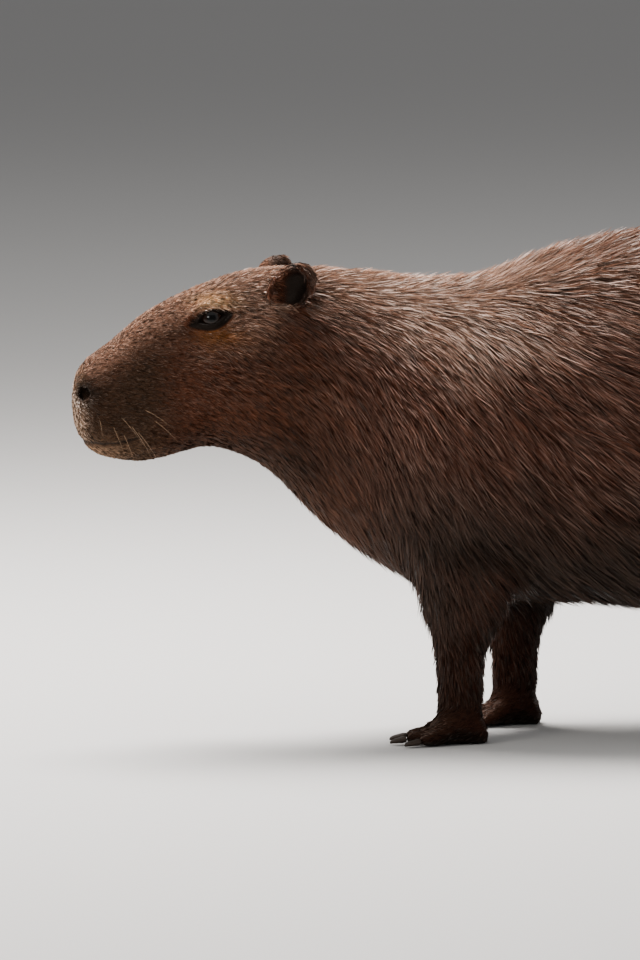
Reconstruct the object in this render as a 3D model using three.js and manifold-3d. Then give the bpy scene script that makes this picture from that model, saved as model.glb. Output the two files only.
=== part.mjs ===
// A grown female capybara, life size, standing still with her head held level and turned a
// little to her left. Millimetres, +Z up, the muzzle towards -X and her left side towards -Y.
// The body is one smooth loft with the legs, lips and lids joined to it, and it is then parted
// with thin cuts into the pieces that a person would name.
import * as THREE from "three";
import { LoftGeometry } from "three/addons/geometries/LoftGeometry.js";
import { mergeVertices } from "three/addons/utils/BufferGeometryUtils.js";
import Module from "manifold-3d";

const wasm = await Module();
wasm.setup();

// Driving dimensions. A place on the body is told by "at", the distance behind the muzzle's
// tip, by y to the side and by z above the ground.
const BODY_LENGTH = 1090;
const GAP = 0.3;
const LEFT = -1;
const RIGHT = 1;

// Lines of the body, from the side and from above. belt is the height of the widest place as a
// share of the depth, and crown and keel tell how square the upper and lower halves are.
const STATIONS = [
  { at: 0, top: 437, bottom: 324, half: 42, belt: 0.32, crown: 2.5, keel: 2.2 },
  { at: 37, top: 449, bottom: 323, half: 44, belt: 0.32, crown: 2.4, keel: 2.2 },
  { at: 75, top: 480, bottom: 318, half: 47, belt: 0.36, crown: 2.3, keel: 2.1 },
  { at: 110, top: 500, bottom: 325, half: 54, belt: 0.36, crown: 2.3, keel: 2.1 },
  { at: 150, top: 516, bottom: 335, half: 66, belt: 0.36, crown: 2.3, keel: 2.1 },
  { at: 187, top: 528, bottom: 327, half: 75, belt: 0.4, crown: 2.3, keel: 2.1 },
  { at: 226, top: 533, bottom: 304, half: 79, belt: 0.44, crown: 2.2, keel: 2.1 },
  { at: 264, top: 532, bottom: 266, half: 84, belt: 0.46, crown: 2.1, keel: 2.1 },
  { at: 327, top: 526, bottom: 222, half: 102, belt: 0.45, crown: 2.0, keel: 2.1 },
  { at: 380, top: 518, bottom: 192, half: 122, belt: 0.44, crown: 2.0, keel: 2.1 },
  { at: 432, top: 515, bottom: 170, half: 136, belt: 0.44, crown: 2.0, keel: 2.1 },
  { at: 480, top: 521, bottom: 160, half: 144, belt: 0.43, crown: 2.0, keel: 2.1 },
  { at: 530, top: 540, bottom: 159, half: 151, belt: 0.42, crown: 2.0, keel: 2.2 },
  { at: 600, top: 559, bottom: 160, half: 160, belt: 0.41, crown: 2.1, keel: 2.3 },
  { at: 690, top: 569, bottom: 149, half: 168, belt: 0.4, crown: 2.1, keel: 2.3 },
  { at: 785, top: 570, bottom: 148, half: 169, belt: 0.41, crown: 2.1, keel: 2.3 },
  { at: 870, top: 563, bottom: 163, half: 162, belt: 0.44, crown: 2.1, keel: 2.2 },
  { at: 950, top: 549, bottom: 196, half: 150, belt: 0.47, crown: 2.1, keel: 2.1 },
  { at: 1020, top: 530, bottom: 232, half: 134, belt: 0.5, crown: 2.1, keel: 2.1 },
  { at: BODY_LENGTH, top: 506, bottom: 262, half: 114, belt: 0.5, crown: 2.1, keel: 2.1 },
];
// How far the muzzle and the rump round over, in the side view and from above, and the height
// that each rounds over to.
const MUZZLE_ROUND = { deep: 45, wide: 28, blunt: 2.4, z: 392 };
const RUMP_ROUND = { deep: 135, wide: 150, blunt: 2.1, z: 385 };
const BODY_SIDES = 26;

// Soft swellings and hollows, alike on both sides: place, reach along each axis, and height.
const FORMS = [
  { name: "nose pad", at: 8, y: 20, z: 398, reach: [20, 18, 20], height: 4 },
  { name: "upper lip", at: 36, y: 40, z: 358, reach: [34, 24, 22], height: 5 },
  { name: "muzzle side", at: 95, y: 48, z: 395, reach: [36, 30, 34], height: -3 },
  { name: "brow", at: 146, y: 44, z: 502, reach: [32, 20, 15], height: 6 },
  { name: "under the eye", at: 132, y: 60, z: 452, reach: [30, 24, 14], height: -3 },
  { name: "cheek", at: 190, y: 76, z: 396, reach: [52, 40, 50], height: 9 },
  { name: "temple", at: 196, y: 58, z: 500, reach: [24, 30, 20], height: -4 },
  { name: "throat", at: 250, y: 40, z: 290, reach: [50, 60, 40], height: -5 },
  { name: "shoulder", at: 405, y: 135, z: 320, reach: [80, 70, 110], height: 14 },
  { name: "behind the elbow", at: 505, y: 130, z: 245, reach: [40, 60, 70], height: -7 },
  { name: "flank", at: 770, y: 160, z: 270, reach: [60, 80, 80], height: -5 },
  { name: "thigh", at: 905, y: 150, z: 310, reach: [100, 70, 100], height: 16 },
];

// Legs, each a loft of level sections from inside the body down to the wrist or hock and foot.
// dx is the section's place behind the foot, and along and across are its half sizes.
const FORELEG = {
  y: 80,
  wristZ: 46,
  sections: [
    { z: 366, dx: -4, along: 22, across: 14 },
    { z: 348, dx: -2, along: 44, across: 22 },
    { z: 308, dx: -2, along: 60, across: 30 },
    { z: 264, dx: 0, along: 68, across: 37 },
    { z: 222, dx: 4, along: 66, across: 40 },
    { z: 180, dx: 8, along: 52, across: 37 },
    { z: 140, dx: 4, along: 37, across: 30 },
    { z: 104, dx: 0, along: 28.5, across: 25.5 },
    { z: 72, dx: 0, along: 24.5, across: 23.5 },
    { z: 45, dx: 0, along: 25, across: 25 },
    { z: 20, dx: -2, along: 26, across: 28 },
  ],
};
const HINDLEG = {
  y: 98,
  wristZ: 50,
  sections: [
    { z: 440, dx: -26, along: 30, across: 14 },
    { z: 420, dx: -26, along: 60, across: 28 },
    { z: 378, dx: -28, along: 86, across: 43 },
    { z: 326, dx: -28, along: 102, across: 55 },
    { z: 270, dx: -23, along: 107, across: 60 },
    { z: 216, dx: -8, along: 92, across: 54 },
    { z: 172, dx: 14, along: 68, across: 43 },
    { z: 138, dx: 28, along: 47, across: 33 },
    { z: 108, dx: 33, along: 35, across: 26 },
    { z: 80, dx: 24, along: 29, across: 24 },
    { z: 52, dx: 10, along: 28, across: 25 },
    { z: 24, dx: -4, along: 32, across: 28 },
  ],
};
const LEG_SIDES = 12;
const LEGS = [
  { name: "foreleg_left", foot: "forefoot_left", of: FORELEG, side: LEFT, at: 435 },
  { name: "foreleg_right", foot: "forefoot_right", of: FORELEG, side: RIGHT, at: 514 },
  { name: "hindleg_left", foot: "hindfoot_left", of: HINDLEG, side: LEFT, at: 935 },
  { name: "hindleg_right", foot: "hindfoot_right", of: HINDLEG, side: RIGHT, at: 862 },
];

// Feet: a palm lofted forwards, and toes that fan out of it, each with a hoof-like claw.
FORELEG.palm = [
  { forward: -30, half: 15, height: 20 },
  { forward: -22, half: 24, height: 34 },
  { forward: -4, half: 29, height: 44 },
  { forward: 16, half: 34, height: 36 },
  { forward: 32, half: 34, height: 24 },
  { forward: 42, half: 29, height: 15 },
];
FORELEG.toes = [
  { out: -21, turn: -17, length: 46, radius: 8.5 },
  { out: -8, turn: -6, length: 60, radius: 9.5 },
  { out: 8, turn: 5, length: 62, radius: 9.5 },
  { out: 21, turn: 16, length: 50, radius: 9 },
];
HINDLEG.palm = [
  { forward: -34, half: 15, height: 22 },
  { forward: -24, half: 23, height: 40 },
  { forward: -4, half: 29, height: 50 },
  { forward: 20, half: 34, height: 38 },
  { forward: 38, half: 35, height: 26 },
  { forward: 50, half: 30, height: 16 },
];
HINDLEG.toes = [
  { out: -17, turn: -14, length: 62, radius: 10.5 },
  { out: 0, turn: 0, length: 74, radius: 12 },
  { out: 17, turn: 14, length: 60, radius: 10.5 },
];
const TOE_SIDES = 6;
const CLAW = { length: 19, wide: 0.82, blunt: 0.42, lift: 1.5 };

// Head parts
const EYE = { at: 146, y: 44, z: 479, radius: 13, tilt: 22, faces: 14 };
const LID = { long: 30, deep: 14.6, high: 21, openLong: 14.5, openHigh: 6.2 };
const EAR = { at: 234, y: 64, z: 517, wide: 26, high: 30, deep: 15, wall: 4.5 };
const EAR_TURN = { back: 12, out: 24, forward: 24 };
const NOSTRIL = { at: 9, y: 27, z: 397, long: 9.5, high: 6, deep: 10, turn: 35 };
const MOUTH = {
  line: [
    [-12, 348],
    [12, 343],
    [34, 340],
    [56, 343],
    [80, 353],
  ],
  high: 2.4,
  deep: 5,
};
const PHILTRUM = { wide: 3, deep: 5, top: 378, bottom: 341 };

// Where the body is parted: a plane through a place on the upper line and one on the lower line.
const CUTS = {
  nape: { top: [272, 530], bottom: [212, 310] },
  withers: { top: [376, 518], bottom: [304, 235] },
};
// Each leg comes out of the body through an arch, seen from the side.
FORELEG.arch = { half: 84, spring: 225, rise: 95, inner: 28 };
HINDLEG.arch = { half: 138, spring: 270, rise: 130, inner: 32 };

// The coarse coat behind the head: flat locks that taper to a tip, each rooted under the skin
// and lying back over the next. along is the share of a lock's length, wide of its width, and
// ridge and edge are the heights of its middle and its sides over the skin.
const LOCK = { length: 140, wide: 86, first: 282, last: 1080, neck: 0.5, step: 78, apart: 58, seed: 9 };
const LEVEL = 0.3; // how flat the flattest-lying face of a lock has to be, as a cosine
const ARCH = 4; // how far a lock's ridge stands over its sides at least
const LOCK_RINGS = [
  { along: 0, wide: 0.5, ridge: -6, edge: -8, under: -14 },
  { along: 0.3, wide: 0.98, ridge: 3.5, edge: -2.5, under: -12 },
  { along: 0.7, wide: 0.84, ridge: 6, edge: 0, under: -8 },
  { along: 1, wide: 0.05, ridge: 7.6, edge: 6.6, under: 5.8 },
];
// How steeply the coat slopes down from the back, in degrees on the animal's side.
const LIE = [
  { at: 250, droop: 40 },
  { at: 330, droop: 46 },
  { at: 430, droop: 52 },
  { at: 520, droop: 34 },
  { at: 640, droop: 20 },
  { at: 800, droop: 20 },
  { at: 900, droop: 38 },
  { at: 1000, droop: 52 },
  { at: 1090, droop: 60 },
];

// The head turns to her left round a pivot in the neck, and the turn fades out to the shoulders.
const HEAD_TURN = { degrees: 5.5, pivot: 330, full: 250, none: 430 };

const COAT = new THREE.MeshStandardMaterial({ color: 0x5a3020, roughness: 0.72 });
const FACE = new THREE.MeshStandardMaterial({ color: 0x6b3c26, roughness: 0.72 });
const BARE = new THREE.MeshStandardMaterial({ color: 0x2b201b, roughness: 0.6 });
const EYEBALL = new THREE.MeshStandardMaterial({ color: 0x120b08, roughness: 0.08 });
const HORN = new THREE.MeshStandardMaterial({ color: 0x2a211c, roughness: 0.45 });

const UP = new THREE.Vector3(0, 0, 1);
const degrees = THREE.MathUtils.degToRad;
const smooth = THREE.MathUtils.smoothstep;
const blend = THREE.MathUtils.lerp;

// How far the body is turned at a distance behind the muzzle's tip.
function turnAt(at) {
  return degrees(HEAD_TURN.degrees) * (1 - smooth(at, HEAD_TURN.full, HEAD_TURN.none));
}

// Bends a piece modelled straight ahead with the head's turn to the left.
function turnHead(geometry) {
  const places = geometry.getAttribute("position");
  for (let i = 0; i < places.count; i++) {
    const angle = turnAt(places.getX(i));
    const x = places.getX(i) - HEAD_TURN.pivot;
    const y = places.getY(i);
    places.setX(i, HEAD_TURN.pivot + x * Math.cos(angle) - y * Math.sin(angle));
    places.setY(i, x * Math.sin(angle) + y * Math.cos(angle));
  }
  return geometry;
}

// The closed solid of a geometry.
function solid(geometry) {
  const bare = new THREE.BufferGeometry();
  bare.setAttribute("position", geometry.getAttribute("position"));
  bare.setIndex(geometry.getIndex());
  const merged = mergeVertices(bare, 1e-3);
  const mesh = new wasm.Mesh({
    numProp: 3,
    vertProperties: new Float32Array(merged.getAttribute("position").array),
    triVerts: new Uint32Array(merged.getIndex().array),
  });
  return new wasm.Manifold(mesh);
}

function headSolid(geometry) {
  return solid(turnHead(geometry));
}

// The largest closed surface of a solid, so that no loose scrap stays.
function largest(made) {
  const bodies = made.decompose();
  return bodies.reduce((a, b) => (b.volume() > a.volume() ? b : a));
}

function geometryOf(made) {
  const mesh = made.getMesh();
  const geometry = new THREE.BufferGeometry();
  const places = new Float32Array(mesh.numVert * 3);
  for (let i = 0; i < mesh.numVert; i++) {
    places.set(mesh.vertProperties.subarray(i * mesh.numProp, i * mesh.numProp + 3), i * 3);
  }
  geometry.setAttribute("position", new THREE.BufferAttribute(places, 3));
  geometry.setIndex(new THREE.BufferAttribute(mesh.triVerts, 1));
  return geometry;
}

// The body's measures at any distance behind the muzzle's tip, on smooth lines through the stations.
const MEASURES = ["top", "bottom", "half", "belt", "crown", "keel"];
const bodyLines = new THREE.CubicInterpolant(
  STATIONS.map((s) => s.at),
  STATIONS.flatMap((s) => MEASURES.map((m) => s[m])),
  MEASURES.length,
);

// How full a section is near a rounded end: 0 at the end itself, 1 once past the rounding.
function fullness(distance, round, blunt) {
  const left = Math.max(0, 1 - distance / round);
  return Math.pow(Math.max(0, 1 - Math.pow(left, blunt)), 1 / blunt);
}

// Height of the soft forms over a place on the body.
function formHeight(at, y, z) {
  return FORMS.reduce((sum, f) => {
    const u = (at - f.at) / f.reach[0];
    const v = (Math.abs(y) - f.y) / f.reach[1];
    const w = (z - f.z) / f.reach[2];
    return sum + f.height * Math.exp(-(u * u + v * v + w * w));
  }, 0);
}

// A place on the body's surface. angle is 0 on the right side, a quarter turn on the back.
function bodyPoint(at, angle, grow = 0) {
  const [top, bottom, half, belt, crown, keel] = bodyLines.evaluate(at);
  const rear = BODY_LENGTH - at;
  const deepFront = fullness(at, MUZZLE_ROUND.deep, MUZZLE_ROUND.blunt);
  const deepRear = fullness(rear, RUMP_ROUND.deep, RUMP_ROUND.blunt);
  const wide =
    fullness(at, MUZZLE_ROUND.wide, MUZZLE_ROUND.blunt) *
    fullness(rear, RUMP_ROUND.wide, RUMP_ROUND.blunt);
  const beltZ = bottom + belt * (top - bottom);
  const reach = Math.sin(angle) > 0 ? top - beltZ : beltZ - bottom;
  const power = 2 / (Math.sin(angle) > 0 ? crown : keel);
  const out = Math.sign(Math.cos(angle)) * Math.pow(Math.abs(Math.cos(angle)), power);
  const up = Math.sign(Math.sin(angle)) * Math.pow(Math.abs(Math.sin(angle)), power);
  const y = half * wide * out;
  const z = blend(RUMP_ROUND.z, blend(MUZZLE_ROUND.z, beltZ + reach * up, deepFront), deepRear);
  const lift = formHeight(at, y, z) * Math.min(deepFront, deepRear, wide) + grow;
  const way = new THREE.Vector2(out / half, up / reach).normalize();
  return new THREE.Vector3(at, y + way.x * lift, z + way.y * lift);
}

// Distances of the rings along the body: close together on the head and where the ends round over.
function ringPlaces() {
  const places = [];
  for (let at = 0.6; at < BODY_LENGTH - 0.6; ) {
    places.push(at);
    const end = Math.min(at, BODY_LENGTH - at);
    at += Math.min(3.5 + end * 0.42, at < 250 ? 14 : 36);
  }
  places.push(BODY_LENGTH - 0.6);
  return places;
}

function ring(at, sides, grow) {
  return Array.from({ length: sides }, (_, i) => bodyPoint(at, (i / sides) * 2 * Math.PI, grow));
}

// Twice the area that a ring of points encloses, as a vector along the ring's axis.
function ringAxis(points) {
  return points.reduce((sum, p, i) => {
    const next = points[(i + 1) % points.length];
    return sum.add(new THREE.Vector3().crossVectors(p, next));
  }, new THREE.Vector3());
}

// A loft that is closed at both ends and faces outwards whichever way its sections wind.
function loftGeometry(sections) {
  const ahead = sections[sections.length - 1][0].clone().sub(sections[0][0]);
  const right = ringAxis(sections[1]).dot(ahead) > 0;
  const rings = right ? sections : sections.map((s) => [...s].reverse());
  return new LoftGeometry(rings, { capStart: true, capEnd: true });
}

function loft(sections) {
  return solid(loftGeometry(sections));
}

function bodySolid(grow = 0) {
  return headSolid(loftGeometry(ringPlaces().map((at) => ring(at, BODY_SIDES, grow))));
}

function ellipse(centre, u, v, sides) {
  return Array.from({ length: sides }, (_, i) => {
    const a = (i / sides) * 2 * Math.PI;
    return centre.clone().addScaledVector(u, Math.cos(a)).addScaledVector(v, Math.sin(a));
  });
}

function legSolid(leg, grow = 0) {
  const { sections, y } = leg.of;
  return loft(
    sections.map((s) =>
      ellipse(
        new THREE.Vector3(leg.at + s.dx, leg.side * y, s.z),
        new THREE.Vector3(s.along + grow, 0, 0),
        new THREE.Vector3(0, s.across + grow, 0),
        LEG_SIDES,
      ),
    ),
  );
}

// The way a toe points: forwards, towards -X, and turned outwards or inwards.
function toeFrame(leg, toe) {
  const turn = degrees(toe.turn) * leg.side;
  return {
    ahead: new THREE.Vector3(-Math.cos(turn), Math.sin(turn), 0),
    aside: new THREE.Vector3(Math.sin(turn), Math.cos(turn), 0),
    root: new THREE.Vector3(leg.at, leg.side * (leg.of.y + toe.out), 0),
  };
}

function alongToe(leg, toe, steps) {
  const { ahead, aside, root } = toeFrame(leg, toe);
  return steps.map((s) =>
    ellipse(
      root.clone().addScaledVector(ahead, s.forward).setZ(s.z),
      aside.clone().multiplyScalar(s.wide),
      new THREE.Vector3(0, 0, s.high),
      TOE_SIDES,
    ),
  );
}

function toeSolid(leg, toe) {
  const r = toe.radius;
  return loft(
    alongToe(leg, toe, [
      { forward: 6, z: r + 10, wide: r * 0.9, high: r },
      { forward: toe.length * 0.5, z: r + 3, wide: r * 1.02, high: r * 1.02 },
      { forward: toe.length * 0.8, z: r * 0.86, wide: r, high: r * 0.9 },
      { forward: toe.length, z: r * 0.72, wide: r * 0.86, high: r * 0.74 },
    ]),
  );
}

function clawSolid(leg, toe) {
  const r = toe.radius * CLAW.wide;
  const start = toe.length + GAP;
  return loft(
    alongToe(leg, toe, [
      { forward: start, z: toe.radius * 0.72, wide: r, high: r * 0.66 },
      { forward: start + CLAW.length * 0.45, z: toe.radius * 0.6, wide: r * 0.9, high: r * 0.52 },
      { forward: start + CLAW.length * 0.82, z: 4.6, wide: r * 0.66, high: 3 },
      { forward: start + CLAW.length, z: 3.2, wide: r * CLAW.blunt, high: 3.2 - CLAW.lift },
    ]),
  );
}

function palmSolid(leg) {
  return loft(
    leg.of.palm.map((s) =>
      ellipse(
        new THREE.Vector3(leg.at - s.forward, leg.side * leg.of.y, s.height / 2 - 1),
        new THREE.Vector3(0, s.half, 0),
        new THREE.Vector3(0, 0, s.height / 2 + 1),
        12,
      ),
    ),
  );
}

// Everything below the ground level, so that the soles are flat and all at one height.
function standing(made) {
  return made.trimByPlane([0, 0, 1], 0);
}

function ellipsoid(radii, place, turn = new THREE.Matrix4(), across = 12, down = 8) {
  const ball = new THREE.SphereGeometry(1, across, down).scale(...radii);
  return headSolid(ball.applyMatrix4(turn).translate(...place));
}

// Turns a thing modelled for the right side into place, or into its mirror image on the left:
// +Y points out of the head there.
function headTurn(side, tilt, faces) {
  return new THREE.Matrix4()
    .makeRotationZ(degrees(faces) * side)
    .multiply(new THREE.Matrix4().makeRotationY(degrees(-tilt)));
}

function eyePlace(side) {
  return [EYE.at, side * EYE.y, EYE.z];
}

function eyeSolid(side, grow = 0) {
  const r = EYE.radius + grow;
  return ellipsoid([r, r, r], eyePlace(side), headTurn(side, EYE.tilt, EYE.faces), 14, 9);
}

// The lids: a soft mound round the eye, with an almond-shaped slit in front of the eyeball.
function lidSolid(side) {
  const turn = headTurn(side, EYE.tilt, EYE.faces);
  return ellipsoid([LID.long, LID.deep, LID.high], eyePlace(side), turn, 16, 10);
}

function almondSolid(side) {
  const almond = new THREE.Shape();
  almond.moveTo(-LID.openLong, -LID.openHigh * 0.35);
  almond.quadraticCurveTo(0, LID.openHigh * 2, LID.openLong, LID.openHigh * 0.2);
  almond.quadraticCurveTo(0, -LID.openHigh * 1.9, -LID.openLong, -LID.openHigh * 0.35);
  const block = new THREE.ExtrudeGeometry(almond, {
    depth: 40,
    bevelEnabled: false,
    curveSegments: 6,
  });
  block.rotateX(degrees(side === RIGHT ? -90 : 90));
  block.applyMatrix4(headTurn(side, EYE.tilt, EYE.faces));
  return headSolid(block.translate(...eyePlace(side)));
}

function earTurn(side) {
  return new THREE.Matrix4()
    .makeRotationX(degrees(-EAR_TURN.out) * side)
    .multiply(new THREE.Matrix4().makeRotationZ(degrees(EAR_TURN.forward) * side))
    .multiply(new THREE.Matrix4().makeRotationY(degrees(EAR_TURN.back)));
}

// The ear: a cup whose hollow faces out and a little forwards, with a notch in its rear rim.
function earSolid(side) {
  const turn = earTurn(side);
  const place = new THREE.Vector3(EAR.at, side * EAR.y, EAR.z);
  const shift = new THREE.Vector3(-1, side * EAR.deep * 0.62, 1).applyMatrix4(turn).add(place);
  const inner = [EAR.wide - EAR.wall, EAR.deep * 0.95, EAR.high - EAR.wall];
  const notch = new THREE.Vector3(EAR.wide, 0, EAR.high * 0.25).applyMatrix4(turn).add(place);
  return ellipsoid([EAR.wide, EAR.deep, EAR.high], place, turn, 14, 9)
    .subtract(ellipsoid(inner, shift, turn, 12, 8))
    .subtract(ellipsoid([4, 20, 3.4], notch, turn, 6, 5));
}

// A plane wall through the body, as thick as the gap, and the part of a solid on its front side.
function cutPlane(cut) {
  const along = new THREE.Vector3(cut.top[0] - cut.bottom[0], 0, cut.top[1] - cut.bottom[1]);
  const normal = new THREE.Vector3(along.z, 0, -along.x).normalize();
  const through = new THREE.Vector3(cut.top[0] - HEAD_TURN.pivot, 0, cut.top[1]);
  const angle = turnAt(cut.bottom[0]);
  normal.applyAxisAngle(UP, angle);
  through.applyAxisAngle(UP, angle).add(new THREE.Vector3(HEAD_TURN.pivot, 0, 0));
  return { normal, offset: normal.dot(through) };
}

function behind(made, cut) {
  const { normal, offset } = cutPlane(cut);
  return made.trimByPlane(normal.toArray(), offset + GAP / 2);
}

function before(made, cut) {
  const { normal, offset } = cutPlane(cut);
  return made.trimByPlane(normal.clone().negate().toArray(), GAP / 2 - offset);
}

// The block that a leg is parted with: an arch seen from the side, from the leg's inner plane out.
function archSolid(leg, grow = 0) {
  const { half, spring, rise, inner } = leg.of.arch;
  const shape = new THREE.Shape();
  shape.moveTo(-half - grow, -20);
  shape.lineTo(-half - grow, spring);
  shape.absellipse(0, spring, half + grow, rise + grow, Math.PI, 0, true);
  shape.lineTo(half + grow, -20);
  shape.closePath();
  const depth = 260;
  const block = new THREE.ExtrudeGeometry(shape, { depth, bevelEnabled: false, curveSegments: 12 });
  block.rotateX(degrees(90));
  const near = leg.side === LEFT ? -(inner - grow) : depth + inner - grow;
  return solid(block.translate(leg.at, near, 0));
}

// A thin sheet that follows the line of the mouth, kept to the skin's depth.
function mouthSolid() {
  const middle = new THREE.SplineCurve(MOUTH.line.map((p) => new THREE.Vector2(...p)));
  const points = middle.getPoints(8);
  const shape = new THREE.Shape([
    ...points.map((p) => new THREE.Vector2(p.x, p.y + MOUTH.high / 2)),
    ...points.reverse().map((p) => new THREE.Vector2(p.x, p.y - MOUTH.high / 2)),
  ]);
  const sheet = new THREE.ExtrudeGeometry(shape, { depth: 160, bevelEnabled: false });
  const wall = headSolid(sheet.rotateX(degrees(90)).translate(0, 80, 0));
  return wall.subtract(bodySolid(-MOUTH.deep));
}

function philtrumSolid() {
  const { wide, top, bottom, deep } = PHILTRUM;
  const groove = new THREE.BoxGeometry(60, wide, top - bottom);
  const wall = headSolid(groove.translate(0, 0, (top + bottom) / 2));
  return wall.subtract(bodySolid(-deep));
}

function nostrilSolid(side) {
  const turn = headTurn(side, NOSTRIL.turn, -52);
  const place = [NOSTRIL.at, side * NOSTRIL.y, NOSTRIL.z];
  return ellipsoid([NOSTRIL.long, NOSTRIL.deep, NOSTRIL.high], place, turn, 12, 8);
}

// A number from 0 to 1 that is the same in every run.
function seeded(seed) {
  let state = seed;
  return () => {
    state = (state + 0x6d2b79f5) | 0;
    let t = Math.imul(state ^ (state >>> 15), 1 | state);
    t = (t + Math.imul(t ^ (t >>> 7), 61 | t)) ^ t;
    return ((t ^ (t >>> 14)) >>> 0) / 4294967296;
  };
}

// The trunk and legs before the head's turn, to find the skin that the locks lie on.
function skinFinder() {
  const trunk = solid(loftGeometry(ringPlaces().map((at) => ring(at, BODY_SIDES, 0))));
  const core = LEGS.reduce((sum, leg) => sum.add(legSolid(leg)), trunk);
  const mesh = new THREE.Mesh(geometryOf(core), new THREE.MeshBasicMaterial({ side: 2 }));
  mesh.geometry.computeBoundingSphere();
  const ray = new THREE.Raycaster();
  return (at, angle, lift) => {
    const flesh = bodyPoint(at, angle);
    const axis = new THREE.Vector3(at, 0, blend(flesh.z, 360, 0.9));
    const out = flesh.clone().sub(axis).setX(0);
    const reach = out.length();
    out.normalize();
    ray.set(axis, out);
    const hits = ray.intersectObject(mesh).filter((h) => h.distance < reach + 24);
    const depth = hits.length ? hits[hits.length - 1].distance : reach;
    return axis.addScaledVector(out, depth + lift);
  };
}

// The piece of the body that a place belongs to, before the head's turn. The head has no locks.
function pieceAt(p) {
  const leg = LEGS.find((l) => {
    const { half, spring, rise, inner } = l.of.arch;
    const u = (p.x - l.at) / half;
    const top = spring + rise * Math.sqrt(Math.max(0, 1 - u * u));
    return Math.abs(u) < 1 && p.z < top && p.y * l.side > inner;
  });
  const past = ([name, cut]) => {
    const t = (p.z - cut.bottom[1]) / (cut.top[1] - cut.bottom[1]);
    return p.x > blend(cut.bottom[0], cut.top[0], t);
  };
  const cuts = Object.entries(CUTS).filter(past).length;
  return leg ? leg.name : [null, "neck", "torso"][cuts];
}

const lieLine = new THREE.CubicInterpolant(
  LIE.map((l) => l.at),
  LIE.map((l) => l.droop),
  1,
);

// The way a lock runs over the skin: places in at and angle, a step apart along the lie.
function lockPath(at, angle, length, turn) {
  const steps = 12;
  const path = [{ at, angle }];
  for (let i = 0; i < steps; i++) {
    const last = path[path.length - 1];
    const side = Math.cos(last.angle);
    const down = -Math.sign(side) * Math.min(1, Math.abs(side) * 1.35);
    const slope = degrees(lieLine.evaluate(last.at)[0]) * down + turn;
    const near = bodyPoint(last.at, last.angle);
    last.round = bodyPoint(last.at, last.angle + 0.04).distanceTo(near) / 0.04;
    last.back = bodyPoint(last.at - 2, last.angle).distanceTo(near) / 2;
    last.slope = slope;
    const step = length / steps;
    path.push({
      at: last.at + (step * Math.cos(slope)) / last.back,
      angle: last.angle + (step * Math.sin(slope)) / last.round,
    });
  }
  const end = path.pop();
  return end.at < BODY_LENGTH - 6 ? path : [];
}

// A closed surface through rings of four places each, its quads folded outwards.
function wedge(rings) {
  const sides = 4;
  const last = (rings.length - 1) * sides;
  const points = rings.flat();
  const faces = [2, 1, 0, 3, 2, 0, last, last + 1, last + 2, last, last + 2, last + 3];
  for (let r = 0; r + 1 < rings.length; r++) {
    const around = points.slice(r * sides, (r + 2) * sides);
    const heart = around.reduce((sum, p) => sum.add(p), new THREE.Vector3()).divideScalar(2 * sides);
    const bulge = (m, n) => points[m].clone().add(points[n]).divideScalar(2).distanceTo(heart);
    for (let i = 0; i < sides; i++) {
      const [a, b] = [r * sides + i, r * sides + ((i + 1) % sides)];
      const [c, d] = [b + sides, a + sides];
      if (bulge(a, c) > bulge(b, d)) faces.push(a, b, c, a, c, d);
      else faces.push(a, b, d, b, c, d);
    }
  }
  const made = new THREE.BufferGeometry().setFromPoints(points);
  made.setIndex(faces);
  return made;
}

// The four places round a lock at each of its rings: one side, the ridge, the other side and the underside.
function lockRings({ path, width, lift }, skin) {
  return LOCK_RINGS.map((r) => {
    const p = path[Math.round(r.along * (path.length - 1))];
    const half = (r.wide * width) / 2;
    const edge = (way) =>
      skin(
        p.at - (way * half * Math.sin(p.slope)) / p.back,
        p.angle + (way * half * Math.cos(p.slope)) / p.round,
        r.edge + lift * r.along,
      );
    const middle = (height) => skin(p.at, p.angle, height + lift * r.along);
    return [edge(-1), middle(r.ridge), edge(1), middle(r.under)];
  });
}

// The room that a neighbouring piece leaves free for a lock: its rings pushed out on all sides.
function roomFor(rings) {
  const ends = rings.length - 1;
  const ahead = rings[ends][1].clone().sub(rings[0][1]).normalize();
  return rings.map(([left, ridge, right, under], i) => {
    const across = right.clone().sub(left).normalize();
    const up = new THREE.Vector3().crossVectors(across, ahead).normalize();
    if (up.dot(ridge.clone().sub(left)) < 0) up.negate();
    const along = ahead.clone().multiplyScalar(i === ends ? 1 : i ? 0 : -1);
    return [
      left.clone().addScaledVector(across, -5).addScaledVector(up, -1).add(along),
      ridge.clone().addScaledVector(up, 1).add(along),
      right.clone().addScaledVector(across, 5).addScaledVector(up, -1).add(along),
      under.clone().addScaledVector(up, -1).add(along),
    ];
  });
}

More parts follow.
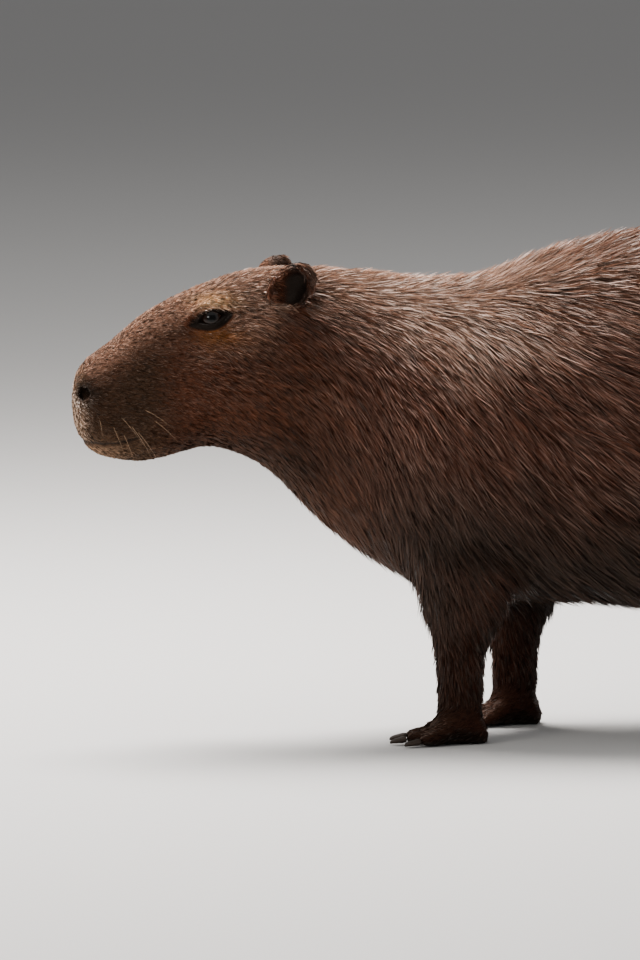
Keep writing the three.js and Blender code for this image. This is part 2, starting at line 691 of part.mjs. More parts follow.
// Whether a lock lies evenly: its ridge over its sides, no sharp twist and no steep face, as in a fold.
function liesEven(rings) {
  const ends = rings.length - 1;
  const ahead = rings[ends][1].clone().sub(rings[0][1]);
  const across = rings.map((r) => r[2].clone().sub(r[0]).normalize());
  const along = ahead.clone().normalize();
  const arch = rings.map((r) => ringAxis(r.slice(0, 3)).dot(along) / r[2].distanceTo(r[0]));
  const arched = arch[0] > 1 && arch[1] > ARCH && arch[2] > ARCH && arch[ends] > 0.1;
  const straight = across.every((a, i) => i === 0 || a.dot(across[i - 1]) > 0.8);
  const up = new THREE.Vector3().crossVectors(across[1], ahead).normalize();
  if (up.dot(rings[1][1].clone().sub(rings[1][0])) < 0) up.negate();
  const faces = [];
  for (let i = 0; i < ends; i++) {
    const [here, next] = [rings[i], rings[i + 1]];
    for (const [side, ridge] of [[0, 1], [1, 2]]) {
      faces.push([here[side], next[side], next[ridge]], [here[side], next[ridge], here[ridge]]);
    }
  }
  const level = faces.map(([a, b, c]) => {
    const facing = b.clone().sub(a).cross(c.clone().sub(a)).normalize();
    return facing.dot(up);
  });
  const even = Math.min(...level) > LEVEL || Math.max(...level) < -LEVEL;
  return arched && straight && even;
}

// All the locks, in rows from the neck to the rump, listed by the piece that each is rooted in.
function combCoat(skin) {
  const random = seeded(LOCK.seed);
  const spread = (size) => (random() * 2 - 1) * size;
  const locks = [];
  let row = 0;
  for (let at = LOCK.first; at < LOCK.last; at += LOCK.step, row++) {
    const around = ring(at, 48, 0);
    const girth = around.reduce((sum, p, i) => sum + p.distanceTo(around[(i + 1) % 48]), 0);
    const count = Math.round(girth / LOCK.apart);
    for (let i = 0; i < count; i++) {
      const angle = ((i + (row % 2) * 0.5 + spread(0.12)) / count) * 2 * Math.PI;
      const root = at + spread(LOCK.step * 0.16);
      const home = pieceAt(skin(root, angle, 0));
      const size = home === "neck" ? LOCK.neck : 1;
      const length = LOCK.length * size * (1 + spread(0.1));
      const path = lockPath(root, angle, length, degrees(spread(6)));
      const width = LOCK.wide * Math.sqrt(size) * (1 + spread(0.08));
      const lift = spread(0.8);
      if (!home || !path.length) continue;
      const rings = lockRings({ path, width, lift }, skin);
      const stays = rings.every((r) => r.every((p) => pieceAt(p) === home));
      if (stays && liesEven(rings)) locks.push({ rings, home });
    }
  }
  return locks;
}

const capybara = new THREE.Group();
capybara.name = "capybara";

function add(name, made, material) {
  const merged = largest(solid(geometryOf(largest(made))));
  const mesh = new THREE.Mesh(geometryOf(merged), material);
  mesh.name = name;
  capybara.add(mesh);
}

const SIDES = [
  ["left", LEFT],
  ["right", RIGHT],
];

// The body and limbs as one solid, grown by a gap where room is left for a neighbour
function wholeSolid(grow) {
  let made = bodySolid(grow);
  for (const leg of LEGS) {
    made = made.add(legSolid(leg, grow)).add(palmSolid(leg));
    for (const toe of leg.of.toes) made = made.add(toeSolid(leg, toe));
  }
  return standing(made);
}

const whole = wholeSolid(0);
const room = wholeSolid(GAP);

// Head, with lids, nostrils, the mouth's line and the cleft of the upper lip
let head = before(whole, CUTS.nape);
for (const [, side] of SIDES) {
  head = head.add(before(lidSolid(side), CUTS.nape)).subtract(eyeSolid(side, GAP));
  head = head.subtract(almondSolid(side)).subtract(nostrilSolid(side));
}
head = head.subtract(mouthSolid()).subtract(philtrumSolid());
add("head", head, FACE);

for (const [word, side] of SIDES) {
  add(`eye_${word}`, eyeSolid(side), EYEBALL);
  add(`ear_${word}`, earSolid(side).subtract(bodySolid(GAP)), BARE);
}

// The pieces that carry the coat, each with what it covers of the plain body. A piece keeps
// clear of the locks that hang over it from the pieces listed before it.
const coat = combCoat(skinFinder());
const trunkOf = (made, grow) => {
  return LEGS.reduce((rest, leg) => rest.subtract(archSolid(leg, grow)), made);
};
const parts = [
  { name: "neck", cut: (made, grow) => behind(before(trunkOf(made, grow), CUTS.withers), CUTS.nape) },
  ...LEGS.map((leg) => ({ name: leg.name, leg, cut: (made, grow) => made.intersect(archSolid(leg, grow)) })),
  { name: "torso", cut: (made, grow) => behind(trunkOf(made, grow), CUTS.withers) },
];
let taken = null;
for (const part of parts) {
  const locks = coat.filter((l) => l.home === part.name);
  let made = part.cut(whole, part.leg ? 0 : GAP);
  if (part.leg) made = made.trimByPlane([0, 0, 1], part.leg.of.wristZ + GAP / 2);
  for (const { rings } of locks) made = made.add(headSolid(wedge(rings)));
  made = behind(made, CUTS.nape);
  if (taken) made = made.subtract(taken);
  add(part.name, made, COAT);
  made = largest(made);
  const plain = part.cut(room, part.leg ? GAP : 0);
  const filled = locks.reduce((sum, l) => sum.add(headSolid(wedge(roomFor(l.rings)))), plain.add(made));
  taken = taken ? taken.add(filled) : filled;
}

// Feet
for (const leg of LEGS) {
  const limb = whole.intersect(archSolid(leg));
  add(leg.foot, limb.trimByPlane([0, 0, -1], GAP / 2 - leg.of.wristZ), COAT);
  leg.of.toes.forEach((toe, i) => {
    add(`${leg.foot}_claw_${i + 1}`, clawSolid(leg, toe), HORN);
  });
}

// The frame's origin is on the ground, under the middle of the whole animal.
const box = new THREE.Box3().setFromObject(capybara);
const middle = box.getCenter(new THREE.Vector3());
capybara.position.set(-middle.x, -middle.y, -box.min.z);

export default capybara;
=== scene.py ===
"""The looks of a life-size standing capybara: skin, bristle coat, eyes, whiskers and claws."""

import math

import bmesh
import bpy
import numpy as np
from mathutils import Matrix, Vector
from mathutils.bvhtree import BVHTree


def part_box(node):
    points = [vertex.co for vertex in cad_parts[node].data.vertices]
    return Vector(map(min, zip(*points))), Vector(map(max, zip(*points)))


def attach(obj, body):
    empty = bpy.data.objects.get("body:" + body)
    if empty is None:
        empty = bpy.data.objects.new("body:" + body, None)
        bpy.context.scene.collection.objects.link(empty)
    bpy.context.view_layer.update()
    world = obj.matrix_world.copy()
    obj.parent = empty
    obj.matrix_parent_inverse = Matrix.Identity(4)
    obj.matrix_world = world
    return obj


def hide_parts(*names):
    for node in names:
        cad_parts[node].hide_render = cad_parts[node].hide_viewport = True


bl_info = {
    "name": "Standing capybara",
    "version": (1, 0, 0),
    "blender": (4, 5, 0),
    "location": "3D View > Sidebar > Capybara",
    "description": "Skin, bristle coat, eyes, claws and whiskers of a life-size capybara",
    "category": "Object",
}

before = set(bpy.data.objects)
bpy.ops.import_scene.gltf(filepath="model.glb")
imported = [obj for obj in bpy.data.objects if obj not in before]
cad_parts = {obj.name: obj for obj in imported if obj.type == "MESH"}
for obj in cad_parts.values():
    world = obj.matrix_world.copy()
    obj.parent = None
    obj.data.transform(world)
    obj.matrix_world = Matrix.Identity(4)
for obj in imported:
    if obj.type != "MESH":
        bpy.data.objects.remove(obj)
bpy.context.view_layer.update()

# Anatomy, in millimetres along the straightened body: at from the muzzle, y to the right side, z up
BODY_LENGTH = 1090
HEAD_TURN = {"degrees": 5.5, "pivot": 330, "full": 250, "none": 430}
EYE_AT = (146, 44, 479)
EAR_AT = (234, 64, 517)
NOSTRIL_AT = (9, 27, 397)
NOSE_AT = (0, 0, 400)
MOUTH_AT = (-12, 12, 34, 56, 80)
MOUTH_Z = (348, 343, 340, 343, 353)
PHILTRUM = (341, 378)
TRUNK_Z = 360
BELLY_Z = 150
FORE_HIND = 650

# Where each leg stands along the body, left and right
FORELEG_AT = (435, 514)
HINDLEG_AT = (935, 862)
LEG_SIDE = 85

# Marked spots of the head: middle and spread, the same on both sides
EAR_SPREAD = (30, 26, 34)
BROW = ((150, 44, 500), (24, 22, 8))
PATCH = ((156, 60, 462), (26, 26, 9))
TEAR = ((118, 44, 466), (14, 14, 8))
CHIN = ((24, 14, 334), (36, 34, 14))
NOSTRIL_HOLE = (NOSTRIL_AT, (11, 11, 8))
NOSTRIL_BARE = (NOSTRIL_AT, (13, 11, 11))
# The nostril's dark spot: its bare skin, and painted shade in its hollow.
NOSTRIL_DARK_AND_SHADE = (NOSTRIL_AT, (19, 18, 15))

# How deep the skin sinks, in millimetres, and how far back the ears lean above their root
DEPTH = {"nostril": 8, "mouth": 1.3, "ear": 5, "lids": 9}
EAR_LEAN = {"share": 0.32, "root": 506}

# The most triangles of the skin, and where the smoothing of the locks sets in behind the head
SKIN_FACES = 190000
LOCKS_FROM = (275, 315)

# How far the hair droops from the line of the back, in degrees, along the body
DROOP_AT = (0, 120, 230, 330, 430, 520, 640, 800, 900, 1000, 1090)
DROOP = (8, 24, 46, 56, 58, 46, 28, 22, 34, 55, 72)

# The length of the bristles along the body, and on the legs, the feet and the ears
REACH_AT = (0, 60, 120, 180, 240, 300, 420, 600, 900, 1090)
REACH = (6, 6, 8, 13, 20, 36, 46, 50, 52, 44)
LEG_REACH = 17
FOOT_REACH = 8
EAR_REACH = {"rear": 4, "front": 16}

# Where the coat's pieces meet along the body
HEAD_END = 262
NECK_END = 430
BELLY_START = 380
RUMP_START = 960

# How thick the hair grows along the body, 1 on the flank
FULLNESS_AT = (0, 60, 200, 300, 430)
FULLNESS = (3.4, 3.2, 2.3, 1.3, 1.0)

# An eye in its own frame: millimetres, degrees, and the lids' edges as half-widths
EYE = {"radius": 13, "shift": (5, 1.2, 1.5), "facing": (-0.2, 1, 0.22), "tilt": 15}
LID = {"opening": (12, 7), "dark": (27, 12.5), "hem": (34, 19)}
LID_GRID = {"around": 96, "across": 16}
LID_ROLL = 1.9
LID_CREASE = {"depth": 0.9, "at": 0.36, "width": 0.07}

# The edges of the pupil and of the cornea as cosines, and how far the cornea stands out
PUPIL = (0.93, 0.88)
CORNEA = {"edge": (0.6, 0.9), "rise": 0.03}

# A whisker's half-thickness at root and tip in metres, and how far its tip sags, as a share
WHISKER = {"root": 0.00027, "tip": 0.00003, "sag": 0.22, "rings": 9}

# Whiskers: place of the root, direction and length, on both sides
WHISKERS = [
    ((46, 46, 372), (0.55, 0.4, -0.55), 38),
    ((38, 44, 362), (0.35, 0.4, -0.8), 30),
    ((58, 48, 362), (0.55, 0.35, -0.7), 40),
    ((50, 47, 352), (0.35, 0.35, -0.8), 34),
    ((66, 50, 354), (0.6, 0.3, -0.7), 38),
    ((72, 52, 380), (0.85, 0.35, -0.35), 36),
    ((82, 54, 368), (0.8, 0.35, -0.5), 34),
    ((26, 36, 368), (0.1, 0.7, -0.7), 20),
    ((118, 34, 508), (0.35, 0.3, 0.9), 24),
    ((124, 38, 506), (0.6, 0.3, 0.8), 18),
    ((176, 66, 430), (0.8, 0.35, -0.35), 28),
]

# How the bristles differ: scales of the noise, and the least and most of each draw
SWEEP_SCALE = 30.0
LOCK_SCALE = 190.0
TURN_CHANCE = (-0.1, 0.1)
LIFT_CHANCE = (0.4, 1.4)
LENGTH_CHANCE = (0.6, 1.15)
WIDTH_CHANCE = (0.75, 1.3)

# How far a root sits below the skin and a tip stays above the floor, in metres
ROOT_DEPTH = 0.0004
FLOOR_GAP = 0.0004

# The coat's map: the trunk, the legs in four rows beside it, and the patch that a bristle takes up
MAP_EDGE = 0.02
MAP_TRUNK = (0.74, 0.96)
MAP_LEGS = {"from": 0.79, "length": 0.19, "row": 0.24, "round": 0.22}
BAKE_PATCH = (0.003, 0.0015)

# The pieces of the coat, in the order of their numbers: name and count of bristles
COAT_PIECES = [
    ("face_left", 36000),
    ("face_right", 36000),
    ("neck_left", 30000),
    ("neck_right", 30000),
    ("back", 32000),
    ("flank_left", 38000),
    ("flank_right", 38000),
    ("rump", 24000),
    ("belly", 18000),
    ("legs", 16000),
]

# The floor's half-width in metres, and each light: place, size, power and tint
FLOOR_SIZE = 60
LIGHTS_AIM = (0, 0, 0.3)
LIGHTS = {
    "ceiling": ((0, 0, 7), (16, 16), 700, (1.0, 0.99, 0.97)),
    "top": ((-0.9, 1.0, 3.0), (2.0, 1.4), 430, (1.0, 0.96, 0.93)),
    "front": ((-2.8, -2.6, 1.7), (1.2, 0.8), 46, (1.0, 0.96, 0.9)),
    "fill": ((2.6, -2.4, 1.4), (2.4, 2.4), 14, (0.92, 0.96, 1.0)),
}


# Places along the straightened body


def smooth_step(low, high, value):
    """0 at low, 1 at high, eased between."""
    part = np.clip((value - low) / (high - low), 0, 1)
    return part * part * (3 - 2 * part)


def turn_at(at):
    """The head's turn to the left, in radians, at a distance from the muzzle."""
    eased = smooth_step(HEAD_TURN["full"], HEAD_TURN["none"], at)
    return np.radians(HEAD_TURN["degrees"]) * (1 - eased)


def straightened(points):
    """World places in metres as places along the straightened body, in millimetres.

    The turn depends on the place along the body, so both are found in three rounds.
    """
    x = points[:, 0] * 1000 + BODY_LENGTH / 2 - HEAD_TURN["pivot"]
    y = points[:, 1] * 1000
    at = x + HEAD_TURN["pivot"]
    for _ in range(3):
        turn = turn_at(at)
        at = x * np.cos(turn) + y * np.sin(turn) + HEAD_TURN["pivot"]
    side = y * np.cos(turn) - x * np.sin(turn)
    return np.stack([at, side, points[:, 2] * 1000], 1)


def turned(vectors, at):
    """Directions along the straightened body as world directions."""
    turn = turn_at(at)
    x = vectors[:, 0] * np.cos(turn) - vectors[:, 1] * np.sin(turn)
    y = vectors[:, 0] * np.sin(turn) + vectors[:, 1] * np.cos(turn)
    return np.stack([x, y, vectors[:, 2]], 1)


def placed(at, side, z):
    """A place along the straightened body, in millimetres, as a world place in metres."""
    turn = float(turn_at(np.float64(at)))
    ahead = at - HEAD_TURN["pivot"]
    x = HEAD_TURN["pivot"] + ahead * math.cos(turn) - side * math.sin(turn) - BODY_LENGTH / 2
    y = ahead * math.sin(turn) + side * math.cos(turn)
    return Vector((x, y, z)) / 1000


def spot(places, centre, radii):
    """1 at a centre, falling off to 0 round it, the same on both sides of the body."""
    away = np.stack([places[:, 0], np.abs(places[:, 1]), places[:, 2]], 1) - np.array(centre)
    return np.exp(-((away / np.array(radii)) ** 2).sum(1))


def unit(vectors):
    return vectors / np.maximum(np.linalg.norm(vectors, axis=1, keepdims=True), 1e-9)


# Node trees


class Wire:
    """A socket that takes part in arithmetic: an expression on it adds its Math nodes."""

    def __init__(self, tree, socket):
        self.tree = tree
        self.socket = socket

    def math(self, operation, *others):
        node = self.tree.node("ShaderNodeMath", {"operation": operation}, [self, *others])
        return self.tree.wire(node)

    def __add__(self, other):
        return self.math("ADD", other)

    __radd__ = __add__

    def __mul__(self, other):
        return self.math("MULTIPLY", other)

    __rmul__ = __mul__

    def __sub__(self, other):
        return self.math("SUBTRACT", other)

    def __rsub__(self, other):
        return (self * -1.0).math("ADD", other)

    def __pow__(self, other):
        return self.math("POWER", other)


class Tree:
    """A node tree, and the one way in which its nodes are made."""

    def __init__(self, tree):
        self.tree = tree
        tree.nodes.clear()

    def node(self, kind, settings=None, sockets=None):
        """A node with its settings set first and then its sockets, by name or in order."""
        made = self.tree.nodes.new(kind)
        for name, value in (settings or {}).items():
            setattr(made, name, value)
        named = sockets.items() if isinstance(sockets, dict) else enumerate(sockets or [])
        for name, value in named:
            if value is None:
                continue
            if isinstance(value, Wire):
                self.tree.links.new(value.socket, made.inputs[name])
            else:
                made.inputs[name].default_value = value
        return made

    def wire(self, node, output=0):
        return Wire(self, node.outputs[output])

    def add(self, kind, settings=None, sockets=None, output=0):
        """The output of a new node."""
        return self.wire(self.node(kind, settings, sockets), output)

    def vector(self, operation, *values):
        return self.add("ShaderNodeVectorMath", {"operation": operation}, list(values))

    def scaled(self, vector, scale):
        node = self.node("ShaderNodeVectorMath", {"operation": "SCALE"}, {0: vector, "Scale": scale})
        return self.wire(node)


def attribute(shader, name, output="Fac"):
    return shader.add("ShaderNodeAttribute", {"attribute_name": name}, output=output)


def mixed(shader, factor, a, b, blend="MIX"):
    """Two colours mixed, each a wire or a plain colour."""
    settings = {"data_type": "RGBA", "blend_type": blend}
    return shader.add("ShaderNodeMix", settings, {0: factor, 6: a, 7: b}, output=2)


def noise(shader, scale, detail=3.0, vector=None, roughness=0.55):
    sockets = {"Vector": vector, "Scale": scale, "Detail": detail, "Roughness": roughness}
    return shader.add("ShaderNodeTexNoise", None, sockets, output=0)


def object_place(shader):
    return shader.add("ShaderNodeTexCoord", output="Object")


def stretched(shader, scale):
    return shader.add("ShaderNodeMapping", None, {"Vector": object_place(shader), "Scale": scale})


def finish_material(name, shader_inputs):
    """A Principled material, its sockets given by a function of the tree."""
    material = bpy.data.materials.new(name)
    material.use_nodes = True
    shader = Tree(material.node_tree)
    surface = shader.node("ShaderNodeBsdfPrincipled", None, shader_inputs(shader))
    shader.node("ShaderNodeOutputMaterial", None, {"Surface": shader.wire(surface)})
    return material


# Colours and sizes that a user may change


def colour(name, description, default):
    return bpy.props.FloatVectorProperty(
        name=name, description=description, default=default, size=3, min=0, max=1, subtype="COLOR"
    )


class CapybaraColours(bpy.types.PropertyGroup):
    """Colours of the coat and skin, some of them painted light and shade."""

    # Saddle and crown are lighter on the places that face up: partly the coat's own colour, partly painted
    # highlight of the top light.
    saddle: colour("Saddle", "Coat along the back", (0.200, 0.082, 0.042))
    flank: colour("Flank", "Coat on the sides", (0.092, 0.028, 0.013))
    # The belly colour is near black: painted shade where the coat faces down, on the chest, under the jaw and
    # low on the body, and it also darkens the legs and the feet.
    belly: colour("Belly", "Coat below and inside the legs", (0.014, 0.007, 0.004))
    crown: colour("Crown", "Top of the head and neck", (0.420, 0.245, 0.165))
    cheek: colour("Cheek", "Side of the head", (0.120, 0.040, 0.018))
    muzzle: colour("Muzzle", "Sides of the muzzle", (0.062, 0.036, 0.020))
    # The lip colour is the rim's own pale hair, painted brighter as a rim light.
    lip: colour("Lip", "Warm rim at the front of the muzzle", (0.560, 0.360, 0.220))
    brow: colour("Brow", "Pale hair over the eye", (0.850, 0.560, 0.290))
    patch: colour("Patch", "Golden hair under the eye", (0.300, 0.115, 0.028))
    # Dark skin is also the painted shade in the nostrils, along the mouth's line and in the ears' hollows.
    dark: colour("Dark skin", "Bare skin of the nose, lids and ears", (0.006, 0.004, 0.003))
    # The tips' colour is partly the bristles' own pale tips and partly painted glints of the top light.
    tip: colour("Tips", "Pale tips of the bristles", (0.950, 0.770, 0.660))


class CapybaraCoat(bpy.types.PropertyGroup):
    """Sizes of the coat."""

    voxel: bpy.props.FloatProperty(
        name="Voxel", description="Grain of the skin's mesh", default=0.0024, min=0.0015, unit="LENGTH"
    )
    combing: bpy.props.IntProperty(
        name="Combing", description="Rounds of smoothing that lay the solids' locks flat", default=90, min=0
    )
    smoothing: bpy.props.IntProperty(
        name="Smoothing", description="Rounds of smoothing of the whole skin", default=6, min=0
    )
    length: bpy.props.FloatProperty(
        name="Length", description="Length of the bristles, as a share of the natural one", default=1.0
    )
    width: bpy.props.FloatProperty(
        name="Width", description="Width of a bristle on the flank", default=0.0011, unit="LENGTH"
    )
    swirl: bpy.props.FloatProperty(
        name="Swirl", description="How far locks turn from the coat's lie", default=0.4, subtype="ANGLE"
    )
    seed: bpy.props.IntProperty(name="Seed", description="Where the bristles grow", default=7)


# Skin


def skin_nodes():
    return [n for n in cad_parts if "claw" not in n and "eye" not in n]


def group_of(piece, name, weights):
    """A vertex group with a weight for each vertex, in a hundred steps."""
    group = piece.vertex_groups.new(name=name)
    steps = np.round(weights * 100).astype(int)
    for step in np.unique(steps[steps > 0]):
        group.add(np.nonzero(steps == step)[0].tolist(), step / 100, "REPLACE")
    return group


def voxel_mesh(piece, size):
    remesh = piece.modifiers.new("even grain", "REMESH")
    remesh.mode = "VOXEL"
    remesh.voxel_size = size
    return plain_mesh(piece)


def even_trunk(coat):
    """The trunk and legs with the solids' locks smoothed away, the core that the coat grows from."""
    body = [n for n in skin_nodes() if "ear" not in n and n != "head"]
    trunk = linked("trunk", joined_nodes(body, "trunk"))
    mesh = voxel_mesh(trunk, coat.voxel * 2)
    places = straightened(vertex_array(mesh.vertices))
    at, _, z = places.T
    weights = smooth_step(*LOCKS_FROM, at) * smooth_step(BELLY_Z - 20, BELLY_Z + 30, z)
    smooth = trunk.modifiers.new("combed flat", "SMOOTH")
    smooth.vertex_group = group_of(trunk, "coat", weights).name
    smooth.factor = 0.5
    smooth.iterations = coat.combing
    plain_mesh(trunk)
    return trunk


def joined_nodes(names, name):
    """One mesh of copies of CAD nodes, with their loose triangles merged."""
    bm = bmesh.new()
    for node in names:
        bm.from_mesh(bpy.data.objects[node].data)
    bmesh.ops.remove_doubles(bm, verts=bm.verts, dist=1e-5)
    return mesh_from(bm, name)


def mesh_from(bm, name):
    """A new mesh from a bmesh, which is freed."""
    mesh = bpy.data.meshes.new(name)
    bm.to_mesh(mesh)
    bm.free()
    return mesh


def shade_smooth(mesh):
    mesh.polygons.foreach_set("use_smooth", np.ones(len(mesh.polygons), bool))


def linked(name, mesh):
    piece = bpy.data.objects.new(name, mesh)
    bpy.context.scene.collection.objects.link(piece)
    return piece


def plain_mesh(piece):
    """Applies a piece's modifiers."""
    graph = bpy.context.evaluated_depsgraph_get()
    mesh = bpy.data.meshes.new_from_object(piece.evaluated_get(graph))
    piece.modifiers.clear()
    old = piece.data
    piece.data = mesh
    bpy.data.meshes.remove(old)
    mesh.name = piece.name
    return mesh


def number_array(collection, name, kind=np.float32):
    """A number of each of a mesh's vertices, corners or faces."""
    values = np.empty(len(collection), kind)
    collection.foreach_get(name, values)
    return values


def vertex_array(collection, name="co"):
    """A vector of each of a mesh's vertices or faces."""
    values = np.empty(len(collection) * 3, np.float32)
    collection.foreach_get(name, values)
    return values.reshape(-1, 3).astype(np.float64)


def set_vertices(mesh, places):
    mesh.vertices.foreach_set("co", places.astype(np.float32).ravel())
    mesh.update()


def store(mesh, name, values, kind="FLOAT", domain="POINT"):
    """A named attribute of a mesh, from an array."""
    made = mesh.attributes.new(name, kind, domain)
    field = {"FLOAT": "value", "INT": "value", "FLOAT_VECTOR": "vector", "FLOAT_COLOR": "color"}[kind]
    made.data.foreach_set(field, np.ascontiguousarray(values).ravel())


def largest_part(mesh):
    """Keeps the largest connected part of a mesh."""
    bm = bmesh.new()
    bm.from_mesh(mesh)
    left = set(bm.verts)
    parts = []
    while left:
        seed = left.pop()
        part = [seed]
        for vertex in part:
            for edge in vertex.link_edges:
                other = edge.other_vert(vertex)
                if other in left:
                    left.remove(other)
                    part.append(other)
        parts.append(part)
    parts.sort(key=len)
    for part in parts[:-1]:
        bmesh.ops.delete(bm, geom=part, context="VERTS")
    bm.to_mesh(mesh)
    bm.free()


def bent(lie, amount, way):
    """Directions bent by an amount towards one way, or towards a way for each."""
    return lie * (1 - amount)[:, None] + amount[:, None] * np.asarray(way)


def lie_of(places, normals):
    """The direction in which the hair lies at each place, in world directions."""
    at, side, z = places.T
    droop = np.radians(np.interp(at, DROOP_AT, DROOP))
    flat = np.clip(np.abs(side) / 90, 0, 1)
    droop *= 0.25 + 0.75 * flat
    lie = np.stack([np.cos(droop), np.zeros_like(at), -np.sin(droop)], 1)
    chest = smooth_step(330, 240, z) * smooth_step(250, 330, at) * smooth_step(470, 400, at)
    lie += np.outer(chest, (-0.1, 0, -1.0))
    lie = bent(lie, smooth_step(BELLY_Z + 50, BELLY_Z - 20, z), (0.22, 0, -1.0))
    lie = bent(lie, smooth_step(62, 34, z), (-1.0, 0, -0.35))
    lie = bent(lie, smooth_step(46, 8, at), unit(places - np.array(NOSE_AT)))
    lie = turned(lie, at)
    lie -= normals * (lie * normals).sum(1, keepdims=True)
    return unit(lie)


def ear_of(places):
    """1 on the ears, 0 elsewhere."""
    near = smooth_step(0.28, 0.5, spot(places, EAR_AT, EAR_SPREAD))
    return near * smooth_step(490, 500, places[:, 2])


def cup_of(places, normals):
    """1 in the hollow of the ears, 0 elsewhere."""
    facing = normals[:, 1] * np.sign(places[:, 1]) * 0.86 - normals[:, 0] * 0.35 + normals[:, 2] * 0.1
    return ear_of(places) * smooth_step(0.35, 0.75, facing)


def lids_of(places):
    """1 on the dark skin round the eyes, 0 elsewhere."""
    lids = np.zeros(len(places))
    tilt = math.radians(EYE["tilt"])
    for side in (-1, 1):
        ball, _ = eye_frame(side)
        at, _, z = straightened(ball[None])[0]
        back, rise = places[:, 0] - at, places[:, 2] - z
        along = (back * math.cos(tilt) + rise * math.sin(tilt) + 2) / LID["dark"][0]
        above = (rise * math.cos(tilt) - back * math.sin(tilt)) / LID["dark"][1]
        corner = np.maximum(1 - 0.55 * along ** 2, 0.35)
        here = smooth_step(1.1, 0.85, np.hypot(along, above / corner))
        lids = np.maximum(lids, here * (places[:, 1] * side > 20))
    return lids


def mouth_of(places):
    """1 along the mouth and the groove above it, 0 elsewhere."""
    at, side, z = places.T
    line = np.abs(z - np.interp(at, MOUTH_AT, MOUTH_Z))
    mouth = smooth_step(3.4, 1.4, line) * smooth_step(80, 68, at)
    groove = smooth_step(3, 1, np.abs(side)) * smooth_step(24, 18, at)
    low, high = PHILTRUM
    groove *= smooth_step(low - 2, low, z) * smooth_step(high + 4, high, z)
    return np.maximum(mouth, groove)


def reach_of(places, normals):
    """The length of the bristles at each place, in millimetres."""
    at, _, z = places.T
    reach = np.interp(at, REACH_AT, REACH)
    below = smooth_step(0.2, -0.8, normals[:, 2]) * smooth_step(240, 320, at)
    reach = reach * (1 + 0.4 * below)
    leg = smooth_step(BELLY_Z + 60, BELLY_Z - 40, z)
    reach = reach * (1 - leg) + LEG_REACH * leg
    foot = smooth_step(75, 40, z)
    reach = reach * (1 - foot) + FOOT_REACH * foot
    reach *= 1 - 0.5 * spot(places, EYE_AT, (34, 24, 22))
    ear = ear_of(places)
    front = smooth_step(EAR_AT[0] - 2, EAR_AT[0] - 18, at)
    on_ear = EAR_REACH["rear"] + (EAR_REACH["front"] - EAR_REACH["rear"]) * front
    return reach * (1 - ear) + on_ear * ear


def fullness_of(places, normals):
    """How thick the hair grows at each place, 1 on the flank."""
    at, _, z = places.T
    fullness = np.interp(at, FULLNESS_AT, FULLNESS)
    fullness = fullness * (1 + 0.6 * smooth_step(BELLY_Z, 60, z))
    bare = lids_of(places) + mouth_of(places)
    bare += smooth_step(0.3, 0.6, spot(places, *NOSTRIL_BARE))
    bare += cup_of(places, normals) * smooth_step(EAR_AT[0] - 8, EAR_AT[0] + 2, at)
    sole = smooth_step(6, 3, z)
    return fullness * np.clip(1 - bare, 0, 1) * (1 - sole)


def markings(places, normals, colours):
    """The coat's colour at each place, painted in layers over the flank's: the coat's own markings, painted
    highlight where the coat faces up, and painted shade where it faces down, on the chest, under the jaw, in
    the nostrils, along the mouth and in the ears' hollows.
    """
    at, _, z = places.T
    up = normals[:, 2]
    head = smooth_step(330, 230, at)
    rear_ear = smooth_step(EAR_AT[0] - 10, EAR_AT[0] + 6, at)
    layers = [
        # Painted highlight: lighter where the coat faces up, partly the back's own colour.
        ("saddle", smooth_step(0.25, 0.95, up)),
        # Painted shade where the coat faces down, low on the body behind the forelegs and on the chest; then
        # darker towards the bottom of the legs and on the feet.
        ("belly", 0.95 * smooth_step(0.25, -0.5, up) * smooth_step(250, 420, at)),
        ("belly", 0.75 * smooth_step(350, 210, z) * smooth_step(530, 640, at)),
        ("belly", 0.6 * smooth_step(380, 250, z) * smooth_step(470, 400, at)),
        ("belly", 0.2 * smooth_step(BELLY_Z + 60, BELLY_Z - 60, z)),
        ("belly", 0.5 * smooth_step(90, 45, z)),
        ("cheek", head * smooth_step(0.7, 0.1, up)),
        # Painted shade under the jaw.
        ("belly", 0.75 * smooth_step(400, 325, z) * smooth_step(50, 130, at) * head),
        # Painted highlight: the neck's top, the crown and the top of the head lighter where they face up,
        # partly their own paler colour.
        ("crown", 0.85 * smooth_step(600, 400, at) * smooth_step(0.4, 0.9, up) * (z > 300)),
        ("crown", 0.8 * smooth_step(240, 180, at) * smooth_step(0.1, 0.6, up)),
        ("muzzle", 0.9 * smooth_step(125, 70, at) * smooth_step(0.55, 0.1, up)),
        # The muzzle's front rim and chin: their own pale hair, painted brighter as a rim light.
        ("lip", 0.6 * smooth_step(13, 2, at) * smooth_step(70, 30, np.abs(z - 385))),
        ("lip", 0.5 * spot(places, *CHIN)),
        ("brow", 0.95 * spot(places, *BROW)),
        ("patch", 0.9 * spot(places, *PATCH)),
        ("dark", 0.5 * spot(places, *TEAR)),
        # The nostril's dark bare skin, with painted shade in its hollow.
        ("dark", 1.3 * spot(places, *NOSTRIL_DARK_AND_SHADE)),
        ("dark", 1.1 * lids_of(places)),
        # Painted shade along the mouth's line and in the groove above it.
        ("dark", 0.9 * mouth_of(places)),
        ("dark", ear_of(places) * rear_ear * 0.85),
        # Painted shade in the ears' hollows.
        ("dark", cup_of(places, normals) * rear_ear),
    ]
    tint = np.tile(np.array(colours.flank), (len(places), 1))
    for name, amount in layers:
        paint = np.array(getattr(colours, name))
        tint = tint + (paint - tint) * np.clip(amount, 0, 1)[:, None]
    return tint


